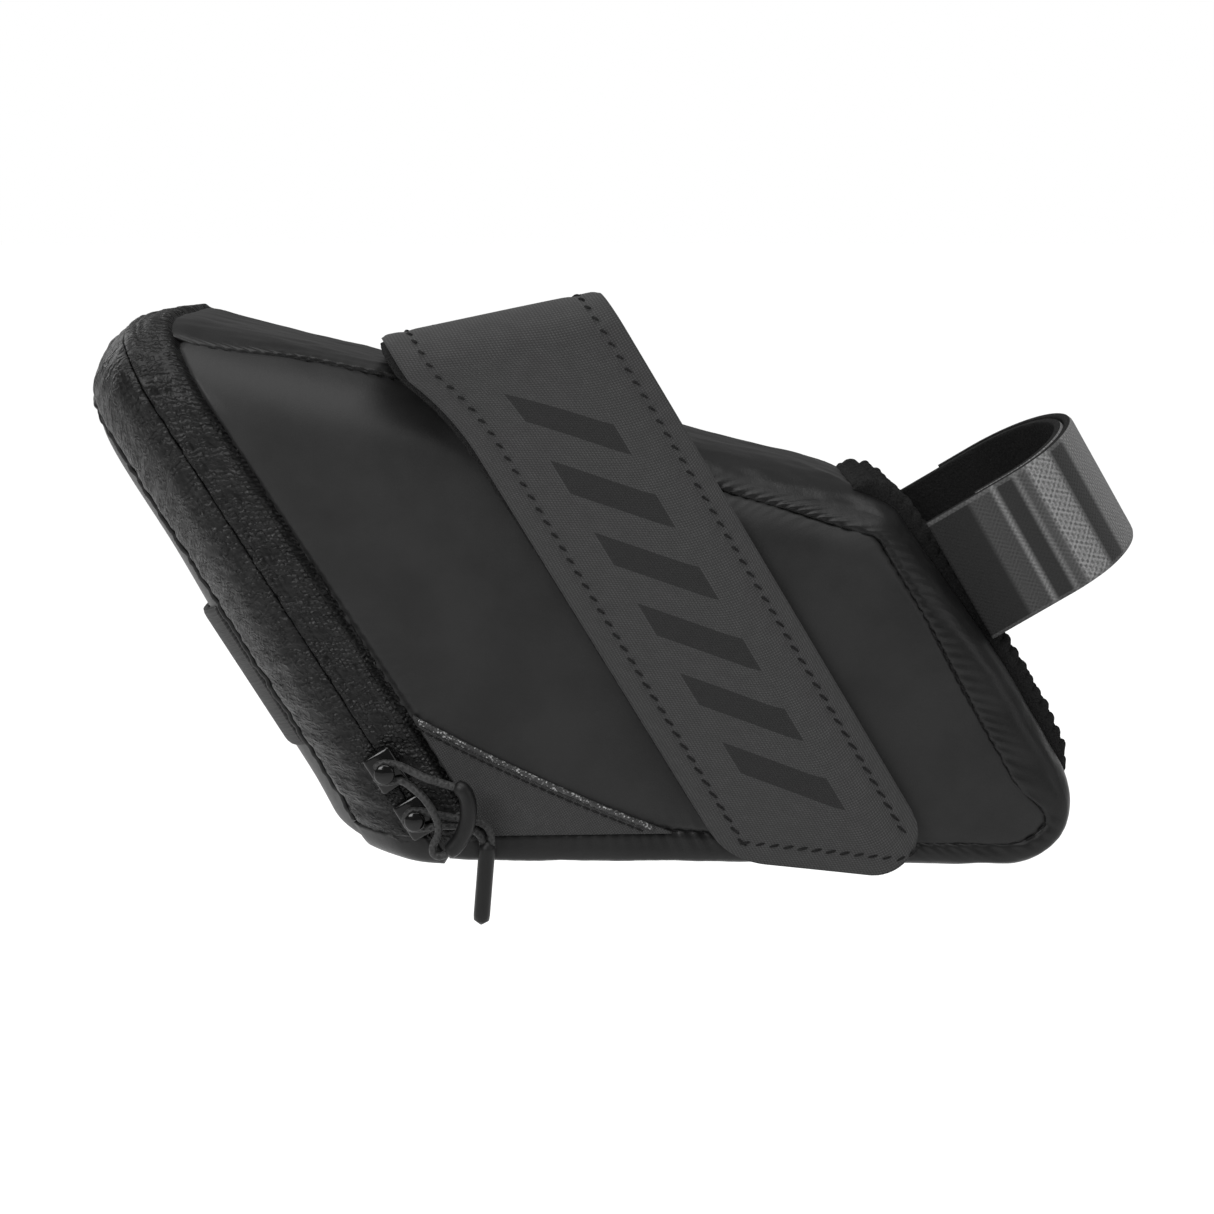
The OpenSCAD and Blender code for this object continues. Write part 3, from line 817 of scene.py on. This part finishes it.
def side_start(side):
    """Rings from the side panel's middle out to its seam."""
    turn = np.linspace(0, 2 * math.pi, 460, endpoint=False)
    low, high = np.zeros(len(turn)), np.full(len(turn), 160.0)
    for _ in range(26):
        mid = (low + high) / 2
        x, z = SIDE_CENTRE[0] + mid * np.cos(turn), SIDE_CENTRE[1] + mid * np.sin(turn)
        tuck = np.minimum(TUCK, 0.5 * seam_inset(x, z))
        within = np.maximum(beyond_seam(x, z) - tuck, BAND_FRONT - 1.2 - (COS * x + SIN * z)) < 0
        low, high = np.where(within, mid, low), np.where(within, high, mid)
    share = 1 - (1 - np.linspace(0, 1, 54)) ** 1.55
    r = low[:, None] * share[None]
    x, z = SIDE_CENTRE[0] + r * np.cos(turn)[:, None], SIDE_CENTRE[1] + r * np.sin(turn)[:, None]
    return np.stack([x, side * wall_y(x, z), z], -1), np.maximum(low[:, None] - r - TUCK, 0)


for side, word in ((-1, "right"), (1, "left")):
    start, away = side_start(side)
    backing, _, _ = shell(f"side_lining_{word}", start[::2, :-3:2], 1.2, [BOARD], -1.7, wrap=True)
    outward_faces(backing)
    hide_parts(f"side_board_{word}")
    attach(backing, "bag")
    run = distance_along(start[:, -1])[:, None]
    x, z = start[..., 0], start[..., 2]
    level = (seam_relief(run, away, 11 + side, 0.75, 0.16) + 0.16 * ripples(x, z, 21 + side, 60)
             - 0.25 * np.exp(-(away / 5.0) ** 2))
    panel, _, _ = shell(f"side_panel_{word}_laminate", start, 1.2, [SIDE_LAMINATE], level, wrap=True)
    outward_faces(panel)
    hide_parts(f"side_panel_{word}")
    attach(panel, "bag")

# seam thread: it lies in the groove where the gusset meets each side
for column, word in ((0, "right"), (-1, "left")):
    edge = gusset_at[:, column] + gusset_out[:, column] * 0.02
    way = np.gradient(edge, axis=0)
    row_of = np.arange(3, len(edge) - 3, 4)
    seam = stitches(f"seam_thread_{word}", edge[row_of], way[row_of], gusset_out[row_of, column], THREAD,
                    2.3, 0.36, 0.0)
    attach(seam, "bag")

# ---- zip band ---------------------------------------------------------------------------


def girth(s, upper):
    """The line round the bag at that s: over the top, or under the base."""
    turn = np.linspace(-math.pi, math.pi, 900)
    middle = 50.0                              # a height inside the bag at the zip
    low, high = np.zeros(len(turn)), np.full(len(turn), 120.0)
    for _ in range(24):
        mid = (low + high) / 2
        inside = depth(row(s, mid * np.sin(turn), middle + mid * np.cos(turn))) < 0
        low, high = np.where(inside, mid, low), np.where(inside, high, mid)
    loop = row(s, low * np.sin(turn), middle + low * np.cos(turn))
    above = loop[:, 2] > BASE_LEVEL - 2.5
    below = loop[:, 2] < BASE_LEVEL - 0.5
    if upper:
        return resample(loop[above], STEP)
    return resample(np.concatenate([loop[below & (turn > 0)], loop[below & (turn < 0)]]), STEP)


def strip(s_from, s_to, columns, upper):
    """A grid round the bag between two distances, its rows in step with each other."""
    lines = [girth(s, upper) for s in np.linspace(s_from, s_to, columns)]
    count = int(np.mean([len(k) for k in lines]))
    share, even = np.linspace(0, 1, count), []
    for line in lines:
        at = np.linspace(0, 1, len(line))
        even.append(np.stack([np.interp(share, at, line[:, k]) for k in range(3)], -1))
    return np.stack(even, 1)


COLUMNS, TAPE_REACH = 44, 10.4
for name, toward, far_edge, paint, ruck, dip, seed in (("bag", 1, BAND_FRONT, COATED_BAND, 0.14, 1.9, 31),
                                                       ("lid", -1, BAND_REAR, LID_BAND, 0.05, 0.9, 41)):
    near = ZIP_S + SLIT * toward
    start = strip(near, far_edge, COLUMNS, True)
    q = np.linspace(0, abs(far_edge - near), COLUMNS)[None]
    edge = q[0, -1] - q
    run = np.arange(start.shape[0])[:, None] * STEP
    beat = np.sin(WAVE * run / 2.5 + 1.6 * ripples(run, run * 0, seed, 17))
    level = (1.0 - 0.10 * np.exp(-(q / 0.35) ** 2) - dip * np.exp(-(edge / 1.1) ** 2)
             + ruck * beat * np.exp(-np.abs(edge - 1.6) / 1.9)
             + 0.24 * ripples(run * 3.0, q, seed + 1, 13) + 0.12 * ripples(run * 2.2, q * 1.5, seed + 2, 4.6)
             - 0.14 * np.exp(-((q - 2.3) / 0.35) ** 2))
    band, band_at, band_out = shell(f"zip_band_{name}_coated", start, 1.1, [paint], level)
    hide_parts(f"zip_band_{name}")
    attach(band, name)
    tape_start = strip(near, ZIP_S + TAPE_REACH * toward, 12, True)
    tape, tape_at, _ = shell(f"zip_tape_{name}_woven", tape_start, 0.7, [TAPE_WEAVE], -1.3)
    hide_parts(f"zip_tape_{name}")
    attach(tape, name)
    teeth_at = strip(ZIP_S + toward, far_edge, 2, True)[:, 0]
    teeth_out = outward(teeth_at)
    forward = np.broadcast_to(row(1.0, 0.0, 0.0), teeth_at.shape)
    coil = stitches(f"zip_coil_{name}", (teeth_at - teeth_out * 1.4)[::2], forward[::2], teeth_out[::2],
                    COIL, 2.0, 0.9, 0.0)
    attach(coil, name)
    if name == "lid":
        piping = tube("rear_piping", band_at[3:-3, -1] + band_out[3:-3, -1] * 0.1, 1.3, GUSSET_LAMINATE, 10)
        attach(piping, "lid")

hem_start = strip(ZIP_S + 5.0, BAND_REAR, 24, False)
hem_s, _, _ = leaned(hem_start)
beneath = eased((hem_s - ZIP_S + 0.6) / 1.2)         # 1 where the hem lies under the base panel
hem_level = 0.15 * ripples(hem_start[..., 0], hem_start[..., 1], 44, 16) + 1.1 - 2.45 * beneath
hem, _, _ = shell("lid_hem", hem_start, 1.1, [GUSSET_LAMINATE], hem_level)
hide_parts("lid_base_flap")
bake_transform(hem)

# ---- rear panel and linings ---------------------------------------------------------------

REAR_HALF, REAR_BULGE = 29.9, 9.4


def rear_start(inward):
    """Starting points for the rear panel, drawn in from its sides, and how far across each one is."""
    line, _ = outline_from(lambda s, p: s < BAND_REAR + 0.4)
    s, w = COS * line[:, 0] + SIN * line[:, 1], -SIN * line[:, 0] + COS * line[:, 1]
    y = np.linspace(-1, 1, 90)
    y = (y * (1.15 - 0.15 * y * y))[None] * (REAR_HALF - inward)
    bulge = np.clip((BAND_REAR - (CROWN_C - np.sqrt(CROWN_R ** 2 - y ** 2))) / REAR_BULGE, 0.02, 1)
    return row(BAND_REAR + (s[:, None] - BAND_REAR) * bulge, y, w[:, None]), y


start, y = rear_start(0.0)
run = np.arange(len(start))[:, None] * STEP
away = np.minimum(REAR_HALF - np.abs(y), np.minimum(run, run[-1] - run))
level = seam_relief(run + np.abs(y), np.maximum(away, 0), 51, 0.5, 0.18) + 0.2 * ripples(run, y, 52, 30)
rear, _, _ = shell("rear_panel_laminate", start, 1.2, [REAR_LAMINATE], level)
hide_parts("rear_panel")
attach(rear, "lid")

start, _ = rear_start(3.0)
rear_lining, _, _ = shell("rear_lining", start[6:-6], 1.2, [BOARD], -1.5)
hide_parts("rear_board")
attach(rear_lining, "lid")

lined, _ = gusset_grid(lambda s, p: (s > BAND_FRONT) & ((p[:, 1] < -60) | (s > -34)), 0.98)
lining, _, _ = shell("base_and_front_lining", lined[::2, 10:-10:2], 1.2, [BOARD], -1.6)
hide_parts("base_board", "front_board")
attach(lining, "bag")

# ---- reflective corner patches --------------------------------------------------------------

PATCH_BOW, PATCH_BEND = 4.2, 0.46   # how far its upper edge bows, and where along it the foot turns
PATCH_TOP, PATCH_HEEL, PATCH_TOE = np.array([-128.4, 38.0]), np.array([-128.4, 8.2]), np.array([-95.8, -11.9])


def patch_edge(t):
    """The patch's long upper edge, which bows in a little."""
    t = np.asarray(t, float)[..., None]
    across = np.array([PATCH_TOE[1] - PATCH_TOP[1], PATCH_TOP[0] - PATCH_TOE[0]])
    across = across / np.linalg.norm(across)
    return PATCH_TOP + (PATCH_TOE - PATCH_TOP) * t + across * PATCH_BOW * t * (1 - t)


for side, word in ((-1, "right"), (1, "left")):
    t = np.linspace(0.01, 0.99, 90)
    top = patch_edge(t)
    upright = PATCH_TOP + (PATCH_HEEL - PATCH_TOP) * (t / PATCH_BEND)[:, None]
    level = PATCH_HEEL + (PATCH_TOE - PATCH_HEEL) * ((t - PATCH_BEND) / (1 - PATCH_BEND))[:, None]
    foot = np.where((t < PATCH_BEND)[:, None], upright, level)
    share = np.linspace(0, 1, 26)[None, :, None]
    flat = top[:, None] + (foot - top)[:, None] * share
    start = on_side(flat[..., 0], 0.0, flat[..., 1], side)
    lift = 0.55 + 0.05 * ripples(flat[..., 0], flat[..., 1], 61, 9)
    outer = settle(start) + outward(start) * lift[..., None]
    patch = cloth(f"corner_patch_{word}_fabric", outer, outer - outward(outer) * 0.7, flat, [PATCH_FABRIC])
    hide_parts(f"corner_patch_{word}")
    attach(patch, "bag")

    step = np.gradient(top, axis=0)
    step /= np.linalg.norm(step, axis=1, keepdims=True)
    inward = np.stack([step[:, 1], -step[:, 0]], -1)
    band = (top[:, None] + inward[:, None] * np.linspace(-0.1, 1.05, 6)[None, :, None])[2:-6]
    start = on_side(band[..., 0], 0.0, band[..., 1], side)
    crown = 0.72 + 0.22 * (1 - np.linspace(-1, 1, 6) ** 2)
    outer = settle(start) + outward(start) * crown[None, :, None]
    edging = cloth(f"reflective_edging_{word}", outer, outer - outward(outer) * 0.45, band, [EDGING])
    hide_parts(f"reflective_edge_{word}")
    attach(edging, "bag")
    line = (top + inward * 1.8)[4:-10:3]
    place = settle(on_side(line[:, 0], 0.0, line[:, 1], side))
    lift = outward(place)
    sewn = stitches(f"patch_thread_{word}", place + lift * 0.75, np.gradient(place, axis=0), lift, THREAD,
                    1.7, 0.42, 0.0)
    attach(sewn, "bag")

# ---- main strap -----------------------------------------------------------------------------

STRAP_BACK, STRAP_FRONT, STRAP_GAP, STRAP_T = -89.5, -51.5, 1.2, 2.4
CREST_TILT, CREST_REACH, BEND_R = math.radians(19.3), 60.5, 6.0
CREST_TURN, DOWN_TURN = math.radians(70.7), math.radians(231.5)
FLARE, FLARE_REACH = 4.0, 20.0    # the strap's rear edge runs back a little as it nears the crest
STRAP_MIDDLE, STRAP_W = (STRAP_BACK + STRAP_FRONT) / 2, STRAP_FRONT - STRAP_BACK
NEAR_END, FAR_END = (72.7, 16.0, 9.0), (26.0, 0.0, 0.0)     # each end's reach down, and its corners' radii


def strap_foot(x, drop, back_r, front_r):
    """Lower end of a strap length at each place across it, with its corners rounded."""
    w = (drop - math.cos(DOWN_TURN) * x) / math.sin(DOWN_TURN)
    for wall, edge, r in ((180.0, -STRAP_BACK, back_r), (0.0, STRAP_FRONT, front_r)):
        if r:
            centre = meet(wall, edge - r, math.degrees(DOWN_TURN), drop - r)
            tangent = centre + r * np.array([math.cos(DOWN_TURN), math.sin(DOWN_TURN)])
            beyond = x < tangent[0] if wall == 180.0 else x > tangent[0]
            dip = np.sqrt(np.clip(r * r - (x - centre[0]) ** 2, 0, None))
            w = np.where(beyond, centre[1] - dip, w)
    return w


def strap_line(x, out, side, drop, back_r, front_r, rows):
    """One lengthwise line of the strap on one side: up the wall to the crest, then in to the middle."""
    w_top = (CREST_REACH - math.cos(CREST_TURN) * x) / math.sin(CREST_TURN)
    w = np.linspace(strap_foot(x, drop, back_r, front_r), w_top, rows)
    flare = FLARE * (STRAP_FRONT - x) / STRAP_W
    wall = on_side(x - flare * np.clip(1 - (w_top - w) / FLARE_REACH, 0, 1) ** 2, out, w, side)
    x = x - flare
    r = BEND_R + out - STRAP_GAP
    turn = np.linspace(math.pi, math.pi / 2, 16)[1:]
    a, b = BEND_R - STRAP_GAP + r * np.cos(turn), r * np.sin(turn)
    a, b = np.r_[a, a[-1] + np.linspace(0, 1, 14)[1:] * 60], np.r_[b, np.full(13, r)]
    along = CREST_REACH + b
    reach = (x - along * math.sin(CREST_TILT)) / math.cos(CREST_TILT)
    up = -reach * math.sin(CREST_TILT) + along * math.cos(CREST_TILT)
    over = on_side(np.full(len(a), x), -a, up, side)
    inside = side * over[:, 1] > 0
    last = int(np.flatnonzero(~inside)[0]) if (~inside).any() else len(over) - 1
    share = over[last - 1, 1] / (over[last - 1, 1] - over[last, 1])
    middle = over[last - 1] + (over[last] - over[last - 1]) * share
    return wall, np.vstack([over[:last], middle])


NEAR_ROWS, FAR_ROWS = 190, 120
BRIDGE_FALL = 0.045               # the stretch over the top falls a little to the far side


def strap_surface(out, columns):
    """The strap that far off the bag, from its lower end over the top and down to its far end."""
    grid = []
    for x in columns:
        wall, over = strap_line(x, out, -1, *NEAR_END, 110)
        far_wall, far_over = strap_line(x, out, 1, *FAR_END, 60)
        near = even_rows(np.vstack([wall, resample(over, 1.0)]), NEAR_ROWS)
        far = even_rows(np.vstack([far_wall, resample(far_over, 1.0)]), FAR_ROWS)
        whole = np.vstack([near, far[::-1][1:]])
        whole[:, 2] -= BRIDGE_FALL * np.clip(whole[:, 1] + 36.0, 0, 74)
        grid.append(whole)
    return np.stack(grid, 1)


across = np.linspace(-1, 1, 46)
columns = STRAP_MIDDLE + (across * (1.3 - 0.3 * across ** 2)) * STRAP_W / 2
face = strap_surface(STRAP_GAP + STRAP_T, columns)
back = strap_surface(STRAP_GAP, columns)
skin_line = (face - back) / np.maximum(np.linalg.norm(face - back, axis=-1, keepdims=True), 1e-6)
length = distance_along(face[:, len(columns) // 2])
from_edge = np.minimum(columns - STRAP_BACK, STRAP_FRONT - columns)
groove = 0.28 * np.exp(-((from_edge - 4.4) / 0.9) ** 2)
soft_edge = 0.55 * np.exp(-(from_edge / 0.7) ** 2)
wave = 0.10 * ripples(length[:, None], columns[None], 71, 40) - groove[None] - soft_edge[None]
face = face + skin_line * wave[..., None]
middle_layer = face - skin_line * 0.95
strap_uv = np.stack(np.broadcast_arrays((columns - STRAP_MIDDLE)[None], length[:, None]), -1)
strap = cloth("main_strap_face", face, middle_layer, strap_uv, [STRAP_FACE, PILE])
# the pile stands out a little past the strap's rear edge, most near the crest
rise = eased((length - 62.0) / 50.0) * eased((138.0 - length) / 14.0)
by_edge = np.clip(1 - (columns - STRAP_BACK) / 6.0, 0, 1)
proud = (0.45 + 1.5 * rise + 0.16 * ripples(length, length * 0, 72, 2.4))[:, None] * by_edge[None]
backward = face[:, :1] - face[:, 6:7]
backward = backward / np.linalg.norm(backward, axis=-1, keepdims=True)
under = cloth("main_strap_pile", middle_layer + backward * proud[..., None],
              back - skin_line * 0.1 + backward * proud[..., None], strap_uv, [PILE])


def on_flap(piece):
    """Bakes a strap piece's place into its mesh; the strap's bend over its crest is already built into that
    mesh.
    """
    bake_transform(piece)
    return piece


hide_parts("main_strap_flap", "main_strap_bridge", "main_strap_left")
for piece in (strap, under):
    on_flap(piece)

# thread down both edges and round the lower end
FOOT_ROWS = 6                     # rows by the lower end that the edge threads leave out
picks = []
for target in (4.6, STRAP_W - 3.9):
    column = int(np.argmin(np.abs(columns - STRAP_BACK - target)))
    picks.append(face[FOOT_ROWS:, column] + skin_line[FOOT_ROWS:, column] * 0.14)
foot_x = np.linspace(STRAP_BACK + 5.2, STRAP_FRONT - 4.2, 40)
foot_w = strap_foot(foot_x, 68.6, 12.0, 5.0)
foot_line = on_side(foot_x, STRAP_GAP + STRAP_T - 0.1, foot_w, -1)
parts = [resample(p, 3.0) for p in picks] + [resample(foot_line, 3.0)]
ways = [np.gradient(p, axis=0) for p in parts]
lifts = []
for p in parts:
    near = np.argmin(((face[::3, ::3].reshape(-1, 3)[None] - p[:, None]) ** 2).sum(-1), 1)
    lifts.append(skin_line[::3, ::3].reshape(-1, 3)[near])
strap_thread = stitches("main_strap_thread", np.vstack(parts), np.vstack(ways), np.vstack(lifts), THREAD,
                        2.6, 0.58, 0.34)
on_flap(strap_thread)

# ---- seat-post strap ---------------------------------------------------------------------------

POST_R, POST_T, POST_W, CLEAR, LEG = 15.9, 1.8, 28.6, 0.4, 19.0
TILT = 0.055                     # the far side of the loop sits a little higher
WEB_STEP = 0.6


def webbing(name, line, thick, half, paints, start_at):
    """Flat webbing stood on edge along a line seen from above, s and y; it thickens towards +normal."""
    line = resample(line, WEB_STEP)
    way = np.gradient(line, axis=0)
    way /= np.linalg.norm(way, axis=1, keepdims=True)
    normal = np.stack([way[:, 1], -way[:, 0]], -1)
    across = np.linspace(-half, half, 44)
    edge = 0.35 * np.exp(-((half - np.abs(across)) / 0.5) ** 2)
    out = line[:, None] + normal[:, None] * (thick - edge)[None, :, None]
    inn = np.broadcast_to(line[:, None], out.shape)
    w = np.broadcast_to(across[None], out.shape[:2])
    lie = w + TILT * np.clip(line[:, 1:] + POST_R, 0, None)
    u = np.broadcast_to((start_at + np.arange(len(line)) * WEB_STEP)[:, None], w.shape)
    whole = row(out[..., 0], out[..., 1], lie)
    return cloth(name, whole, row(inn[..., 0], inn[..., 1], lie), np.stack([w, u], -1), paints), whole


turn = np.linspace(-math.pi / 2, math.pi / 2, 60)
half_turn = np.stack([np.cos(turn), np.sin(turn)], -1)
inner_line = np.vstack([[-7.0, -POST_R], POST_R * half_turn, [-LEG, POST_R]])
inner, inner_grid = webbing("post_strap_inner_webbing", inner_line, POST_T, POST_W / 2, [POST_WEBBING, PILE],
                            40.0)
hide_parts("post_strap_inner")
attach(inner, "bag")
r = POST_R + POST_T + CLEAR
outer_line = np.vstack([[-LEG, -r], r * half_turn, [-8.0, r]])
outer, outer_grid = webbing("post_strap_outer_webbing", outer_line, POST_T, POST_W / 2, [POST_WEBBING, PILE],
                            -2.8)
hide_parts("post_strap_outer", "post_strap_tail")
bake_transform(outer)

# ---- grip pad: knitted mesh over the front wall -------------------------------------------------

PAD_HALF = 18.0
line, normal = outline_from(lambda s, p: (s > -27.0) & (p[:, 1] > -52.0))
fine = resample(np.hstack([line, normal]), 0.38)
line, normal = fine[:, :2], fine[:, 2:] / np.linalg.norm(fine[:, 2:], axis=1, keepdims=True)
across = np.linspace(-PAD_HALF, PAD_HALF, 106)
run = distance_along(line)[:, None]
rib = (across[None] / 4.4) % 1 - 0.5
loops = (run / 3.3 + 0.9 * np.abs(rib)) % 1 - 0.5
valley = 1 - 0.55 * np.exp(-(rib / 0.06) ** 2)
knit = np.sqrt(np.clip(1 - (loops / 0.46) ** 2, 0, 1)) * np.clip(1.15 - np.abs(rib) * 1.5, 0, 1) * valley
knit = knit + 0.12 * ripples(run, across[None], 81, 7)
ends = np.minimum(np.minimum(run, run[-1] - run) / 5.0, (PAD_HALF - np.abs(across[None])) / 1.2)
height = np.clip((1.1 + 1.2 * eased(run / 16.0) + 1.9 * knit) * np.sqrt(np.clip(ends, 0, 1)), 0.15, 4.4)
y = np.broadcast_to(across[None], height.shape)
x, z = (np.broadcast_to(line[:, None, k], y.shape) for k in (0, 1))
base = settle(np.stack([x, y, z], -1))
rise = outward(base)
pad = cloth("grip_pad_knit", base + rise * height[..., None], base - rise * 0.6,
            np.stack(np.broadcast_arrays(across[None], run), -1), [KNIT])
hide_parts("grip_pad")
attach(pad, "bag")

# ---- tail-light loop ------------------------------------------------------------------------------

LOOP_C, LOOP_R, LOOP_STEP = -134.4, 25.6, 0.7
LOOP_LOW, LOOP_HIGH = 42, 76      # between these heights along the post
turn = np.radians(np.linspace(118, 242, 90))
circle = np.stack([LOOP_C + LOOP_R * np.cos(turn), LOOP_R * np.sin(turn)], -1)[::-1]
from_crown = np.hypot(circle[:, 0] - CROWN_C, circle[:, 1])
push = np.maximum(CROWN_R - 1.3, from_crown) / from_crown
circle = np.array([CROWN_C, 0.0]) + (circle - [CROWN_C, 0.0]) * push[:, None]
loop_line = resample(circle, LOOP_STEP)
way = np.gradient(loop_line, axis=0)
way /= np.linalg.norm(way, axis=1, keepdims=True)
normal = np.stack([way[:, 1], -way[:, 0]], -1)
if (normal * (loop_line - [CROWN_C, 0.0])).sum() < 0:
    normal = -normal
height = np.linspace(LOOP_LOW, LOOP_HIGH, 44)
selvage = 0.35 * np.exp(-(np.minimum(height - LOOP_LOW, LOOP_HIGH - height) / 0.6) ** 2)
out = loop_line[:, None] + normal[:, None] * (1.5 - selvage)[None, :, None]
inn = np.broadcast_to(loop_line[:, None], out.shape)
w = np.broadcast_to(height[None], out.shape[:2])
along = np.broadcast_to((np.arange(len(loop_line)) * LOOP_STEP)[:, None], w.shape)
loop_grid = row(out[..., 0], out[..., 1], w)
light_loop = cloth("light_loop_webbing", loop_grid, row(inn[..., 0], inn[..., 1], w),
                   np.stack([w, along], -1), [LOOP_WEBBING])
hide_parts("light_loop")
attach(light_loop, "lid")

# ---- sliders ------------------------------------------------------------------------------------------

SLIDER_SIZE, SLIDER_EDGE, SLIDER_DOME = (6.4, 2.4, 8.6), 0.8, 0.6
STEM_R, STEM_L, HEAD_SPREAD = 1.0, 5.4, 2.1
for which, w in (("lower", 19.5), ("upper", 31.0)):          # heights up the zip
    centre = row(ZIP_S, -HALF_W - 1.7, w)
    body = block(f"slider_{which}_body", centre, SLIDER_SIZE, -LEAN, SLIDER_ENAMEL, SLIDER_EDGE,
                 SLIDER_DOME)
    select_none()
    bpy.ops.mesh.primitive_cylinder_add(vertices=32, radius=STEM_R * MM, depth=STEM_L * MM)
    post = bpy.context.object
    bpy.ops.object.mode_set(mode="EDIT")
    # the post's head: its outer end widened, drawn out and closed in to a dome
    bpy.ops.mesh.select_all(action="DESELECT")
    shape = bmesh.from_edit_mesh(post.data)
    for f in shape.faces:
        f.select = f.normal.z > 0.9
    bmesh.update_edit_mesh(post.data)
    bpy.ops.mesh.extrude_region_move(TRANSFORM_OT_translate={"value": (0, 0, 0)})
    bpy.ops.transform.resize(value=(HEAD_SPREAD, HEAD_SPREAD, 1))
    bpy.ops.mesh.extrude_region_move(TRANSFORM_OT_translate={"value": (0, 0, 0.45 * MM)})
    for shrink in (0.88, 0.72, 0.4):
        bpy.ops.mesh.extrude_region_move(TRANSFORM_OT_translate={"value": (0, 0, 0.22 * MM)})
        bpy.ops.transform.resize(value=(shrink, shrink, 1))
    bpy.ops.object.mode_set(mode="OBJECT")
    post_at = Matrix.Translation(Vector(row(ZIP_S, -HALF_W - 2.3, w)) * MM)
    post.data.transform(post_at @ Matrix.Rotation(math.pi / 2, 4, "X"))
    post.matrix_world = Matrix.Identity(4)
    post.name = post.data.name = f"slider_{which}_post"
    post.data.materials.append(SLIDER_ENAMEL)
    post.data.shade_smooth()
    outward_faces(post)
    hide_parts(f"slider_{which}")
    for piece in (body, post):
        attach(piece, f"{which}_slider")

# ---- finishes of the CAD nodes that stay -----------------------------------------------------------------

for node, paint in (("zip_end_stops", TAPE_WEAVE), ("hook_patch", HOOKS)):
    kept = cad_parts[node]
    kept.data.materials.clear()
    kept.data.materials.append(paint)

# ---- floor and light --------------------------------------------------------------------------------------

select_none()
bpy.ops.mesh.primitive_plane_add(size=40.0)
floor = bpy.context.object
floor.name = "floor"
FLOOR_Z = -0.30                   # in metres, lower than the open lid reaches
floor.data.transform(Matrix.Translation((0, 0, FLOOR_Z)))
floor_paint = Paint("pale_floor", Roughness=0.9)
floor_cloud = floor_paint.noise(floor_paint.place(), 0.004, 2.0)
floor_colour = floor_paint.mix(floor_cloud, (.93, .93, .93, 1), (.95, .95, .95, 1))
floor.data.materials.append(floor_paint.finish(floor_colour))

world = bpy.data.worlds.new("studio")
bpy.context.scene.world = world
world.use_nodes = True
surround = world.node_tree.nodes["Background"]
surround.inputs[0].default_value = (1, 1, 1, 1)
seen = world.node_tree.nodes.new("ShaderNodeLightPath")
strength = world.node_tree.nodes.new("ShaderNodeMapRange")
strength.inputs["To Min"].default_value, strength.inputs["To Max"].default_value = 0.24, 1.0
world.node_tree.links.new(seen.outputs["Is Camera Ray"], strength.inputs["Value"])
world.node_tree.links.new(strength.outputs[0], surround.inputs[1])
for name, place, size, power in (("key", (-0.47, -0.52, 0.34), 0.3, 3.4),
                                 ("front", (0.9, -0.5, 0.35), 0.5, 1.6),
                                 ("back", (-0.9, 0.6, 0.5), 0.7, 3.0)):
    lamp = bpy.data.lights.new(name, "AREA")
    lamp.size, lamp.energy = size, power
    shine = bpy.data.objects.new(name, lamp)
    bpy.context.scene.collection.objects.link(shine)
    shine.location = place
    shine.rotation_euler = (Vector((-0.09, 0, 0)) - Vector(place)).to_track_quat("-Z", "Y").to_euler()

sun = bpy.data.lights.new("overcast", "SUN")
sun.energy, sun.angle = 2.85, math.radians(60)
sun_object = bpy.data.objects.new("overcast", sun)
bpy.context.scene.collection.objects.link(sun_object)
sun_object.rotation_euler = (math.radians(8), 0, 0)
